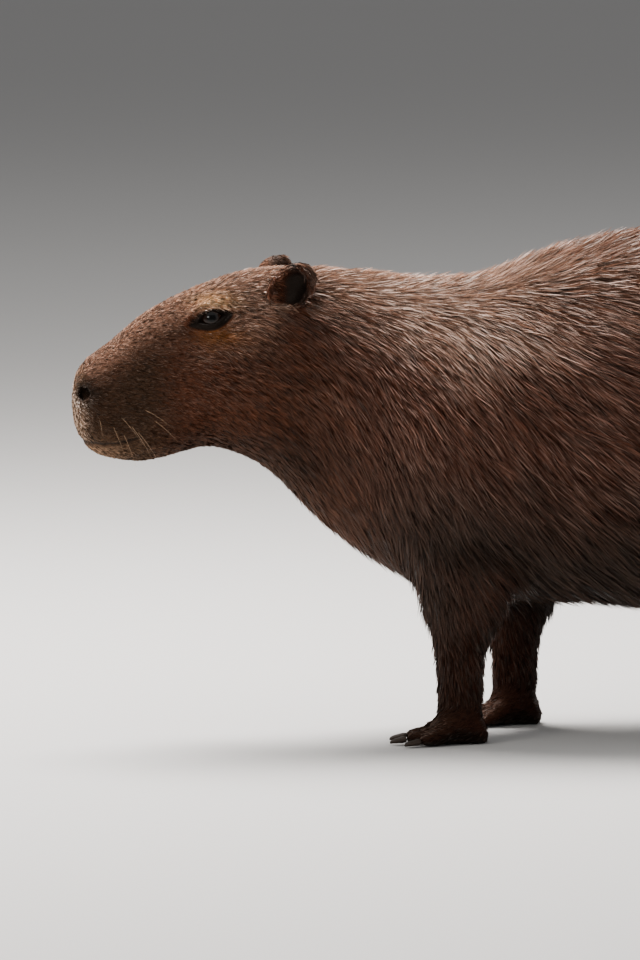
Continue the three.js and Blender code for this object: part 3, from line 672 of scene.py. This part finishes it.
def glint_of(places, normals):
    """How many of the bristles have a pale tip at each place: partly the coat's own pale tips, as over the
    brow, and partly painted glints of the top light on the places that face up, most on the neck's top, the
    crown and the top of the head, a painted rim light at the front of the muzzle, and fewer where the coat
    faces down, on the chest and on the feet.
    """
    at, _, z = places.T
    up = normals[:, 2]
    glint = 0.2 + 0.6 * smooth_step(0.3, 0.85, up)
    glint += 0.4 * smooth_step(620, 420, at) * smooth_step(0.3, 0.8, up)
    glint *= 1 - 0.8 * smooth_step(0.1, -0.4, up)
    glint *= 1 - 0.5 * smooth_step(320, 220, z) * smooth_step(300, 420, at)
    glint *= 1 - 0.8 * smooth_step(120, 60, z)
    glint += 0.45 * smooth_step(220, 120, at) * smooth_step(0.1, 0.6, up)
    glint += 0.5 * smooth_step(16, 5, at) + 0.6 * spot(places, *BROW)
    return np.clip(glint, 0, 1.4) * (1 - 0.7 * ear_of(places))


def unwrap_of(places):
    """The skin unrolled: the trunk round its length, and each leg round its own."""
    at, side, z = places.T
    round_trunk = np.arctan2(side, z - TRUNK_Z) / (2 * math.pi) + 0.5
    u = MAP_EDGE + MAP_TRUNK[0] * at / BODY_LENGTH
    v = MAP_EDGE + MAP_TRUNK[1] * round_trunk
    fore = at < FORE_HIND
    left = side < 0
    leg_at = np.where(fore, np.where(left, *FORELEG_AT), np.where(left, *HINDLEG_AT))
    round_leg = np.arctan2(side - np.sign(side) * LEG_SIDE, at - leg_at) / (2 * math.pi) + 0.5
    row = fore * 2 + left
    leg = z < BELLY_Z
    u = np.where(leg, MAP_LEGS["from"] + MAP_LEGS["length"] * z / BELLY_Z, u)
    v = np.where(leg, MAP_EDGE + MAP_LEGS["row"] * row + MAP_LEGS["round"] * round_leg, v)
    return np.stack([u, v, np.zeros_like(u)], 1)


def region_of(places, normals):
    """The number of the coat piece that each face belongs to."""
    at, side, z = places.T
    up = normals[:, 2]
    number = {name: i for i, (name, _) in enumerate(COAT_PIECES)}

    def on_side(name):
        return np.where(side < 0, number[name + "_left"], number[name + "_right"])

    region = on_side("flank")
    region = np.where(up > 0.72, number["back"], region)
    region = np.where(at > RUMP_START, number["rump"], region)
    region = np.where((up < -0.45) & (at > BELLY_START), number["belly"], region)
    region = np.where(at < NECK_END, on_side("neck"), region)
    region = np.where(z < BELLY_Z, number["legs"], region)
    return np.where(at < HEAD_END, on_side("face"), region)


def skin_fields(mesh, coat, colours):
    """Stores on the skin what the coat and the materials read."""
    mesh.update()
    normals = vertex_array(mesh.vertex_normals, "vector")
    places = straightened(vertex_array(mesh.vertices))
    reach = reach_of(places, normals) * coat.length / 1000
    store(mesh, "skin_normal", normals, "FLOAT_VECTOR")
    store(mesh, "lie", lie_of(places, normals), "FLOAT_VECTOR")
    store(mesh, "unwrap", unwrap_of(places), "FLOAT_VECTOR")
    store(mesh, "reach", reach)
    store(mesh, "fullness", fullness_of(places, normals))
    store(mesh, "glint", glint_of(places, normals))
    tint = markings(places, normals, colours)
    store(mesh, "tint", np.concatenate([tint, np.ones((len(tint), 1))], 1), "FLOAT_COLOR")
    centres = straightened(vertex_array(mesh.polygons, "center"))
    facing = vertex_array(mesh.polygons, "normal")
    store(mesh, "region", region_of(centres, facing), "INT", "FACE")


def skin_material():
    def sockets(shader):
        tint = attribute(shader, "tint", "Color")
        fine = noise(shader, 1.0, 2.0, stretched(shader, (180.0, 900.0, 900.0)))
        coarse = noise(shader, 60.0)
        shade = mixed(shader, 1.0, tint, (0.35, 0.28, 0.26, 1.0), "MULTIPLY")
        shade = mixed(shader, fine * 0.5, shade, tint)
        height = fine * 0.7 + coarse * 0.3
        bump = shader.add(
            "ShaderNodeBump", None, {"Strength": 0.6, "Distance": 0.0012, "Height": height}
        )
        return {
            "Base Color": shade,
            "Roughness": attribute(shader, "fullness").math("MINIMUM", 1.0) * 0.25 + 0.4,
            "Specular IOR Level": 0.08,
            "Specular Tint": (1.0, 0.82, 0.7, 1.0),
            "Normal": bump,
        }

    return finish_material("capybara_skin", sockets)


def hollowed(mesh):
    """Sinks the nostrils, the mouth, the ears' hollows and the skin below the lids."""
    mesh.update()
    normals = vertex_array(mesh.vertex_normals, "vector")
    world = vertex_array(mesh.vertices)
    places = straightened(world)
    depth = DEPTH["nostril"] * smooth_step(0.25, 0.8, spot(places, *NOSTRIL_HOLE))
    depth += DEPTH["mouth"] * mouth_of(places) + DEPTH["ear"] * cup_of(places, normals)
    world -= normals * depth[:, None] / 1000
    above_root = np.clip(places[:, 2] - EAR_LEAN["root"], 0, None)
    world[:, 0] += EAR_LEAN["share"] * ear_of(places) * above_root / 1000
    for side in (-1, 1):
        ball, axes = eye_frame(side)
        flat = (world - ball) @ axes.T * 1000
        inside = 1 - np.hypot(flat[:, 0] / (LID["hem"][0] - 3), flat[:, 1] / (LID["hem"][1] - 2))
        sink = DEPTH["lids"] * smooth_step(0, 0.4, inside) * (flat[:, 2] > 0)
        world -= np.outer(sink, axes[2]) / 1000
    set_vertices(mesh, world)


def almond(turn, half_widths):
    """A place on an almond outline, pointed at both corners, in millimetres."""
    rise = math.sin(turn)
    corner = 0.35 + 0.65 * abs(rise)
    return np.array((half_widths[0] * math.cos(turn), half_widths[1] * rise * corner))


def from_eye(ball, axes, flat, high):
    """A place in an eye's own frame, in millimetres, as a world place."""
    return ball + (axes[0] * flat[0] + axes[1] * flat[1] + axes[2] * high) / 1000


def lid_mesh(name, side, tree):
    """The two lids of an eye as one ring, from the rim on the ball out to under the hair."""
    ball, axes = eye_frame(side)
    around, across = LID_GRID["around"], LID_GRID["across"]
    vertices = []
    for i in range(around):
        turn = 2 * math.pi * i / around
        inner = almond(turn, LID["opening"])
        outer = almond(turn, LID["hem"]) - np.array((2.0, 0.0))
        start = from_eye(ball, axes, outer, 60)
        hit = tree.ray_cast(Vector(start), Vector(-axes[2]))[0]
        if hit is None:
            raise RuntimeError("the lids find no skin under them")
        hem = (np.array(hit) - ball) @ axes[2] * 1000 - 0.5
        rim = math.sqrt(max(EYE["radius"] ** 2 - inner @ inner, 9))
        for j in range(across + 1):
            part = (j / across) ** 1.4
            flat = inner + (outer - inner) * part
            roll = LID_ROLL * math.sin(min(part / 0.16, 1) * math.pi / 2) - 0.3
            in_crease = (part - LID_CREASE["at"]) / LID_CREASE["width"]
            crease = LID_CREASE["depth"] * math.exp(-(in_crease ** 2))
            settle = float(smooth_step(0.12, 1, part))
            high = (rim + roll) * (1 - settle) + hem * settle - crease
            vertices.append(tuple(from_eye(ball, axes, flat, high)))
    faces = []
    step = across + 1
    for i in range(around):
        after = (i + 1) % around
        for j in range(across):
            face = (i * step + j, after * step + j, after * step + j + 1, i * step + j + 1)
            faces.append(face if side > 0 else face[::-1])
    mesh = bpy.data.meshes.new(name)
    mesh.from_pydata(vertices, [], faces)
    return mesh


def add_lids(mesh):
    """Joins the lids to the skin."""
    tree = tree_of(mesh)
    bm = bmesh.new()
    bm.from_mesh(mesh)
    for name, side in (("lids_left", -1), ("lids_right", 1)):
        bm.from_mesh(lid_mesh(name, side, tree))
    bm.to_mesh(mesh)
    bm.free()


def tree_of(mesh):
    """A mesh ready for finding the place on it under a ray or near a point."""
    return BVHTree.FromPolygons([v.co for v in mesh.vertices], [tuple(p.vertices) for p in mesh.polygons])


def skin_mesh():
    """The mesh of the skin, which has to be built by now."""
    skin = bpy.data.objects.get("skin")
    if skin is None:
        raise RuntimeError("the skin is built before what grows on it")
    return skin.data


def eye_frame(side):
    """The middle of an eyeball, and its rearward, upward and outward directions."""
    low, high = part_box("eye_left" if side < 0 else "eye_right")
    shift = Vector((EYE["shift"][0], side * EYE["shift"][1], EYE["shift"][2])) / 1000
    ball = np.array((Vector(low) + Vector(high)) / 2 + shift)
    facing = np.array([EYE["facing"]]) * (1, side, 1)
    outward = unit(turned(facing, np.array([EYE_AT[0]])))[0]
    rearward = unit(np.array([[1, 0, 0]]) - outward * outward[0])[0]
    upward = np.cross(outward, rearward)
    upward *= np.sign(upward[2])
    tilt = math.radians(EYE["tilt"])
    back = rearward * math.cos(tilt) + upward * math.sin(tilt)
    above = upward * math.cos(tilt) - rearward * math.sin(tilt)
    return ball, np.array([back, above, outward])


class CAPYBARA_OT_skin(bpy.types.Operator):
    """Builds one skin over the head, neck, trunk, ears, legs and feet."""

    bl_idname = "capybara.skin"
    bl_label = "Skin"

    def execute(self, context):
        coat = context.scene.capybara_coat
        trunk = even_trunk(coat)
        bm = bmesh.new()
        bm.from_mesh(trunk.data)
        bm.from_mesh(joined_nodes(["head", "ear_left", "ear_right"], "head_form"))
        bpy.data.objects.remove(trunk)
        skin = linked("skin", mesh_from(bm, "skin"))
        mesh = voxel_mesh(skin, coat.voxel)
        largest_part(mesh)
        smooth = skin.modifiers.new("smooth", "SMOOTH")
        smooth.factor = 0.5
        smooth.iterations = coat.smoothing
        thin = skin.modifiers.new("fewer faces", "DECIMATE")
        thin.ratio = min(1, SKIN_FACES / (2 * len(mesh.polygons)))
        mesh = plain_mesh(skin)
        hollowed(mesh)
        add_lids(mesh)
        shade_smooth(mesh)
        skin_fields(mesh, coat, context.scene.capybara_colours)
        mesh.materials.append(skin_material())
        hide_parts(*skin_nodes())
        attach(skin, "root")
        return {"FINISHED"}


# Bristle coat


def bristle_blade(tree):
    """One bristle: a flat strip one unit long that narrows to a point, its root at the origin."""
    grid = tree.node("GeometryNodeMeshGrid", None, {"Vertices X": 2, "Vertices Y": 4})
    place = tree.node("ShaderNodeSeparateXYZ", None, [tree.add("GeometryNodeInputPosition")])
    along = tree.wire(place, "Y") + 0.5
    across = tree.wire(place, "X") * 2.0
    narrowing = 1 - along ** 2.2
    marked = kept(tree, tree.wire(grid), "along", along)
    marked = kept(tree, marked, "across", across)
    shape = tree.add("ShaderNodeCombineXYZ", None, [across * narrowing * 0.5, along, 0.0])
    blade = tree.add("GeometryNodeSetPosition", None, {"Geometry": marked, "Position": shape})
    return tree.add("GeometryNodeMergeByDistance", None, {"Geometry": blade, "Distance": 0.001})


def named(tree, name, kind="FLOAT"):
    """The value of a named attribute."""
    node = tree.node("GeometryNodeInputNamedAttribute", {"data_type": kind}, {"Name": name})
    return tree.wire(node, "Attribute")


def chance(tree, limits, seed, offset):
    """A random number for each bristle, between two limits."""
    sockets = {2: limits[0], 3: limits[1], "Seed": seed + offset}
    node = tree.node("FunctionNodeRandomValue", {"data_type": "FLOAT"}, sockets)
    return tree.wire(node, 1)


def kept(tree, geometry, name, value, kind="FLOAT", domain="POINT"):
    """Geometry with a named attribute added."""
    return tree.add(
        "GeometryNodeStoreNamedAttribute",
        {"data_type": kind, "domain": domain},
        {"Geometry": geometry, "Name": name, "Value": value},
    )


def coat_tree():
    """The node group that grows bristles over one region of the skin."""
    group = bpy.data.node_groups.new("bristle_coat", "GeometryNodeTree")
    sockets = [
        ("Skin", "NodeSocketGeometry"),
        ("Region", "NodeSocketInt"),
        ("Density", "NodeSocketFloat"),
        ("Width", "NodeSocketFloat"),
        ("Swirl", "NodeSocketFloat"),
        ("Seed", "NodeSocketInt"),
        ("Hair", "NodeSocketMaterial"),
    ]
    for name, kind in sockets:
        group.interface.new_socket(name, in_out="INPUT", socket_type=kind)
    group.interface.new_socket("Coat", in_out="OUTPUT", socket_type="NodeSocketGeometry")
    tree = Tree(group)
    given = tree.node("NodeGroupInput")
    skin = tree.wire(given, "Skin")
    seed = tree.wire(given, "Seed")
    same = tree.add(
        "FunctionNodeCompare",
        {"data_type": "INT", "operation": "EQUAL"},
        {2: named(tree, "region", "INT"), 3: tree.wire(given, "Region")},
    )
    area = tree.add("GeometryNodeSeparateGeometry", {"domain": "FACE"}, [skin, same])
    scatter = tree.node(
        "GeometryNodeDistributePointsOnFaces",
        None,
        {
            "Mesh": area,
            "Density": named(tree, "fullness") * tree.wire(given, "Density"),
            "Seed": seed,
        },
    )
    root = tree.add("GeometryNodeInputPosition")
    points = kept(tree, tree.wire(scatter, "Points"), "chance", chance(tree, (0.0, 1.0), seed, 1))
    sweep = tree.add("ShaderNodeTexNoise", None, {"Vector": root, "Scale": SWEEP_SCALE, "Detail": 1.0})
    lock = tree.add("ShaderNodeTexNoise", None, {"Vector": root, "Scale": LOCK_SCALE, "Detail": 1.0})
    points = kept(tree, points, "lock", lock)
    yaw = (sweep + lock - 1.0) * tree.wire(given, "Swirl") * 2.0 + chance(tree, TURN_CHANCE, seed, 2)
    facing = named(tree, "skin_normal", "FLOAT_VECTOR")
    turn = tree.add(
        "ShaderNodeVectorRotate",
        {"rotation_type": "AXIS_ANGLE"},
        {"Vector": named(tree, "lie", "FLOAT_VECTOR"), "Axis": facing, "Angle": yaw},
    )
    points = kept(tree, points, "lift", lock * chance(tree, LIFT_CHANCE, seed, 3))
    length = named(tree, "reach") * chance(tree, LENGTH_CHANCE, seed, 4)
    breadth = (named(tree, "reach") * 22.0 + 0.12) ** 0.6
    breadth = breadth * tree.wire(given, "Width") * chance(tree, WIDTH_CHANCE, seed, 5)
    rotation = tree.add(
        "FunctionNodeAxesToRotation",
        {"primary_axis": "Z", "secondary_axis": "Y"},
        {"Primary Axis": facing, "Secondary Axis": turn},
    )
    bristles = tree.add(
        "GeometryNodeInstanceOnPoints",
        None,
        {
            "Points": points,
            "Instance": bristle_blade(tree),
            "Rotation": rotation,
            "Scale": tree.add("ShaderNodeCombineXYZ", None, [breadth, length, 1.0]),
        },
    )
    coat = tree.add("GeometryNodeRealizeInstances", None, [bristles])
    along = named(tree, "along")
    place = tree.add("GeometryNodeInputPosition")
    nearest = tree.add("GeometryNodeProximity", {"target_element": "FACES"}, {"Geometry": skin})
    outward = tree.add(
        "GeometryNodeSampleNearestSurface",
        {"data_type": "FLOAT_VECTOR"},
        {"Mesh": skin, "Value": facing, "Sample Position": place},
    )
    roll = named(tree, "across") * (named(tree, "chance") - 0.5) * 0.0012
    height = named(tree, "reach") * along * (named(tree, "lift") * 0.36 + 0.02) + roll - ROOT_DEPTH
    lifted = tree.vector("ADD", nearest, tree.scaled(outward, height))
    parts = tree.node("ShaderNodeSeparateXYZ", None, [lifted])
    above_floor = tree.wire(parts, "Z").math("MAXIMUM", FLOOR_GAP)
    lifted = tree.add(
        "ShaderNodeCombineXYZ", None, [tree.wire(parts, "X"), tree.wire(parts, "Y"), above_floor]
    )
    coat = tree.add("GeometryNodeSetPosition", None, {"Geometry": coat, "Position": lifted})
    across = named(tree, "across")
    patch = [along * BAKE_PATCH[0], across * BAKE_PATCH[1], 0.0]
    patch = tree.add("ShaderNodeCombineXYZ", None, patch)
    spread = tree.vector("ADD", named(tree, "unwrap", "FLOAT_VECTOR"), patch)
    coat = kept(tree, coat, "OFBake", spread, "FLOAT2", "CORNER")
    for name in ("lie", "skin_normal", "unwrap", "fullness", "region", "across", "lift", "reach"):
        coat = tree.add("GeometryNodeRemoveAttribute", None, {"Geometry": coat, "Name": name})
    hair = tree.wire(given, "Hair")
    coat = tree.add("GeometryNodeSetMaterial", None, {"Geometry": coat, "Material": hair})
    tree.node("NodeGroupOutput", None, {"Coat": coat})
    return group


def set_input(modifier, name, value):
    """Sets a modifier's input by the identifier of its socket."""
    items = modifier.node_group.interface.items_tree
    socket = next(i for i in items if i.in_out == "INPUT" and i.name == name)
    modifier[socket.identifier] = value


def hair_material(colours):
    def sockets(shader):
        tint = attribute(shader, "tint", "Color")
        along = attribute(shader, "along")
        luck = attribute(shader, "chance")
        lock = attribute(shader, "lock")
        dark = mixed(shader, 1.0, tint, (0.30, 0.24, 0.22, 1.0), "MULTIPLY")
        # Pale strands: partly the coat's own pale tips, partly painted glints of the top light, as many as
        # the skin's glint attribute says.
        light = mixed(shader, 0.7, tint, (*colours.tip, 1.0))
        base = mixed(shader, along ** 1.2, dark, tint)
        pale = (luck ** 5.0) * (along ** 1.2) * attribute(shader, "glint") * 1.7
        tone = (lock - 0.5) * 2.8 + (luck ** 2.0) * 1.5 + 0.34
        grey = shader.add("ShaderNodeCombineColor", None, [tone.math("MAXIMUM", 0.08)] * 3)
        shade = mixed(shader, 1.0, base, grey, "MULTIPLY")
        shade = mixed(shader, pale.math("MINIMUM", 1.0), shade, light)
        return {
            "Base Color": shade,
            "Roughness": 0.34 + luck * 0.2,
            "Specular IOR Level": 0.28,
            "Specular Tint": (1.0, 0.86, 0.76, 1.0),
        }

    return finish_material("bristles", sockets)


class CAPYBARA_OT_coat(bpy.types.Operator):
    """Grows the bristle coat over the skin, region by region."""

    bl_idname = "capybara.coat"
    bl_label = "Coat"

    def execute(self, context):
        mesh = skin_mesh()
        coat = context.scene.capybara_coat
        hair = hair_material(context.scene.capybara_colours)
        group = coat_tree()
        region = number_array(mesh.attributes["region"].data, "value", np.int32)
        area = number_array(mesh.polygons, "area")
        fullness = number_array(mesh.attributes["fullness"].data, "value")
        first = number_array(mesh.polygons, "loop_start", np.int32)
        corner = number_array(mesh.loops, "vertex_index", np.int32)
        weight = area * fullness[corner[first]]
        for number, (name, count) in enumerate(COAT_PIECES):
            here = weight[region == number].sum()
            if here <= 0:
                raise RuntimeError(f"the coat piece {name} has no skin under it")
            piece = linked("coat_" + name, mesh.copy())
            grow = piece.modifiers.new("bristles", "NODES")
            grow.node_group = group
            inputs = {
                "Region": number,
                "Density": float(count / here),
                "Width": coat.width,
                "Swirl": coat.swirl,
                "Seed": coat.seed + number,
                "Hair": hair,
            }
            for socket, value in inputs.items():
                set_input(grow, socket, value)
            plain_mesh(piece)
            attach(piece, "root")
        return {"FINISHED"}


# Eyes


def eye_material():
    def sockets(shader):
        ring = attribute(shader, "ring")
        fibres = noise(shader, 900.0, 2.0)
        iris = mixed(shader, fibres, (0.004, 0.002, 0.0015, 1.0), (0.014, 0.006, 0.003, 1.0))
        seen = mixed(shader, ring, (0.001, 0.001, 0.001, 1.0), iris)
        return {"Base Color": seen, "Roughness": 0.03, "IOR": 1.27}

    return finish_material("eye", sockets)


def eyeball(name, side):
    """A smooth eyeball with a raised cornea and a ring that marks the iris."""
    ball, axes = eye_frame(side)
    bm = bmesh.new()
    bmesh.ops.create_uvsphere(bm, u_segments=64, v_segments=48, radius=EYE["radius"] / 1000)
    mesh = mesh_from(bm, name)
    places = vertex_array(mesh.vertices)
    forward = unit(places) @ axes[2]
    store(mesh, "ring", smooth_step(*PUPIL, forward))
    cornea = smooth_step(*CORNEA["edge"], forward)
    set_vertices(mesh, places * (1 + CORNEA["rise"] * cornea)[:, None] + ball)
    shade_smooth(mesh)
    return linked(name, mesh)


class CAPYBARA_OT_eyes(bpy.types.Operator):
    """Builds the two dark eyes."""

    bl_idname = "capybara.eyes"
    bl_label = "Eyes"

    def execute(self, context):
        wet = eye_material()
        for name, side in (("left", -1), ("right", 1)):
            eye = eyeball("eyeball_" + name, side)
            eye.data.materials.append(wet)
            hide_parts("eye_" + name)
            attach(eye, "root")
        return {"FINISHED"}


# Whiskers


def whisker_material():
    def sockets(shader):
        grain = noise(shader, 200.0)
        shade = mixed(shader, grain * 0.5, (0.42, 0.26, 0.15, 1.0), (0.16, 0.09, 0.05, 1.0))
        return {"Base Color": shade, "Roughness": 0.4}

    return finish_material("whisker", sockets)


class CAPYBARA_OT_whiskers(bpy.types.Operator):
    """Sets the long hairs of the muzzle, brow and cheek."""

    bl_idname = "capybara.whiskers"
    bl_label = "Whiskers"

    def execute(self, context):
        tree = tree_of(skin_mesh())
        bm = bmesh.new()
        for side in (-1, 1):
            for (at, out, z), (rearward, outward, up), length in WHISKERS:
                root = placed(at, side * out, z)
                root, normal, _, _ = tree.find_nearest(root)
                way = turned(np.array([[rearward, side * outward, up]]), np.array([at]))[0]
                self.hair(bm, root - normal * 0.001, Vector(way).normalized(), length / 1000)
        mesh = mesh_from(bm, "whiskers")
        mesh.materials.append(whisker_material())
        whiskers = linked("whiskers", mesh)
        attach(whiskers, "root")
        return {"FINISHED"}

    @staticmethod
    def hair(bm, root, way, length):
        """A tapered four-sided hair that bends down towards its tip."""
        across = way.cross(Vector((0, 0, 1))).normalized()
        rings = []
        for step in range(WHISKER["rings"]):
            part = step / (WHISKER["rings"] - 1)
            sag = Vector((0, 0, -WHISKER["sag"] * length * part * part))
            middle = root + way * length * part + sag
            thick = (WHISKER["root"] - WHISKER["tip"]) * (1 - part) + WHISKER["tip"]
            over = way.cross(across).normalized()
            corners = (across, over, -across, -over)
            rings.append([bm.verts.new(middle + corner * thick) for corner in corners])
        for low, high in zip(rings, rings[1:]):
            for k in range(4):
                bm.faces.new((low[k], low[(k + 1) % 4], high[(k + 1) % 4], high[k]))
        bm.faces.new(rings[0][::-1])
        bm.faces.new(rings[-1])


# Claws


def horn_material():
    def sockets(shader):
        grain = noise(shader, 1.0, 3.0, stretched(shader, (120.0, 500.0, 500.0)))
        wear = noise(shader, 90.0)
        horn = mixed(shader, grain, (0.010, 0.007, 0.006, 1.0), (0.035, 0.023, 0.016, 1.0))
        horn = mixed(shader, wear * 0.5, horn, (0.05, 0.034, 0.023, 1.0))
        bump = shader.add("ShaderNodeBump", None, {"Strength": 0.4, "Distance": 0.0006, "Height": grain})
        return {
            "Base Color": horn,
            "Roughness": 0.55 + wear * 0.2,
            "Specular IOR Level": 0.2,
            "Normal": bump,
        }

    return finish_material("horn", sockets)


class CAPYBARA_OT_claws(bpy.types.Operator):
    """Rounds the claws and gives them their horn."""

    bl_idname = "capybara.claws"
    bl_label = "Claws"

    def execute(self, context):
        horn = horn_material()
        for node in [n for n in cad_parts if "claw" in n]:
            claw = linked("horn_" + node, joined_nodes([node], node))
            rounder = claw.modifiers.new("rounded", "SUBSURF")
            rounder.levels = rounder.render_levels = 2
            mesh = plain_mesh(claw)
            shade_smooth(mesh)
            mesh.materials.clear()
            mesh.materials.append(horn)
            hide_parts(node)
            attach(claw, "root")
        return {"FINISHED"}


# Floor, light and camera


class CapybaraStage(bpy.types.PropertyGroup):
    """The camera: where it stands and aims, and how much it takes in."""

    azimuth: bpy.props.FloatProperty(
        name="Azimuth",
        description="Camera's turn round the animal",
        default=math.radians(-4.5),
        subtype="ANGLE",
    )
    elevation: bpy.props.FloatProperty(
        name="Elevation",
        description="Camera's height as an angle",
        default=math.radians(5.5),
        subtype="ANGLE",
    )
    distance: bpy.props.FloatProperty(
        name="Distance", description="From the camera to its aim", default=7.5, unit="LENGTH"
    )
    aim: bpy.props.FloatVectorProperty(
        name="Aim",
        description="Place in the middle of the picture",
        default=(-0.262, 0.006, 0.291),
        size=3,
        subtype="XYZ",
        unit="LENGTH",
    )
    height: bpy.props.FloatProperty(
        name="Height", description="What the picture's height covers at the aim", default=1.091, unit="LENGTH"
    )


def area_light(name, place, size, power, tint):
    """A rectangular light, turned to the animal."""
    light = bpy.data.lights.new(name, "AREA")
    light.shape = "RECTANGLE"
    light.size, light.size_y = size
    light.energy = power
    light.color = tint
    lamp = bpy.data.objects.new(name, light)
    bpy.context.scene.collection.objects.link(lamp)
    lamp.location = place
    lamp.rotation_euler = (Vector(LIGHTS_AIM) - Vector(place)).to_track_quat("-Z", "Y").to_euler()


def floor_material():
    def sockets(shader):
        grain = noise(shader, 3.0, 4.0)
        tone = mixed(shader, grain, (0.50, 0.49, 0.48, 1.0), (0.54, 0.53, 0.52, 1.0))
        return {"Base Color": tone, "Roughness": 0.9}

    return finish_material("pale_floor", sockets)


class CAPYBARA_OT_stage(bpy.types.Operator):
    """Sets the pale floor, the soft light and the camera."""

    bl_idname = "capybara.stage"
    bl_label = "Stage"

    def execute(self, context):
        stage = context.scene.capybara_stage
        bm = bmesh.new()
        bmesh.ops.create_grid(bm, x_segments=1, y_segments=1, size=FLOOR_SIZE)
        floor = linked("floor", mesh_from(bm, "floor"))
        floor.data.materials.append(floor_material())
        world = bpy.data.worlds.new("studio")
        context.scene.world = world
        world.use_nodes = True
        sky = Tree(world.node_tree)
        glow = {"Color": (0.92, 0.92, 0.93, 1.0), "Strength": 0.3}
        glow = sky.add("ShaderNodeBackground", None, glow)
        sky.node("ShaderNodeOutputWorld", None, {"Surface": glow})
        for name, settings in LIGHTS.items():
            area_light(name, *settings)
        camera = bpy.data.cameras.new("camera")
        camera.sensor_fit = "VERTICAL"
        camera.sensor_height = 36
        camera.lens = camera.sensor_height * stage.distance / stage.height
        camera.clip_end = 200
        viewer = bpy.data.objects.new("camera", camera)
        context.scene.collection.objects.link(viewer)
        level = math.cos(stage.elevation)
        back = Vector(
            (math.sin(stage.azimuth) * level, -math.cos(stage.azimuth) * level, math.sin(stage.elevation))
        )
        viewer.location = Vector(stage.aim) + back * stage.distance
        viewer.rotation_euler = (-back).to_track_quat("-Z", "Y").to_euler()
        context.scene.camera = viewer
        return {"FINISHED"}


class CAPYBARA_PT_panel(bpy.types.Panel):
    """Lists the sizes, the colours and the steps."""

    bl_idname = "CAPYBARA_PT_panel"
    bl_label = "Capybara"
    bl_space_type = "VIEW_3D"
    bl_region_type = "UI"
    bl_category = "Capybara"

    def draw(self, context):
        scene = context.scene
        for group in (scene.capybara_coat, scene.capybara_colours, scene.capybara_stage):
            box = self.layout.box()
            for name in group.__annotations__:
                box.prop(group, name)
        for operator in OPERATORS:
            self.layout.operator(operator.bl_idname)


OPERATORS = (
    CAPYBARA_OT_skin,
    CAPYBARA_OT_coat,
    CAPYBARA_OT_eyes,
    CAPYBARA_OT_whiskers,
    CAPYBARA_OT_claws,
    CAPYBARA_OT_stage,
)
GROUPS = {
    "capybara_coat": CapybaraCoat,
    "capybara_colours": CapybaraColours,
    "capybara_stage": CapybaraStage,
}


def register():
    for name, group in GROUPS.items():
        bpy.utils.register_class(group)
        setattr(bpy.types.Scene, name, bpy.props.PointerProperty(type=group))
    for made in (*OPERATORS, CAPYBARA_PT_panel):
        bpy.utils.register_class(made)


def unregister():
    for made in (CAPYBARA_PT_panel, *reversed(OPERATORS)):
        bpy.utils.unregister_class(made)
    for name, group in GROUPS.items():
        delattr(bpy.types.Scene, name)
        bpy.utils.unregister_class(group)


def main():
    register()
    bpy.ops.capybara.skin()
    bpy.ops.capybara.coat()
    bpy.ops.capybara.eyes()
    bpy.ops.capybara.whiskers()
    bpy.ops.capybara.claws()
    bpy.ops.capybara.stage()


if __name__ == "__main__":
    main()
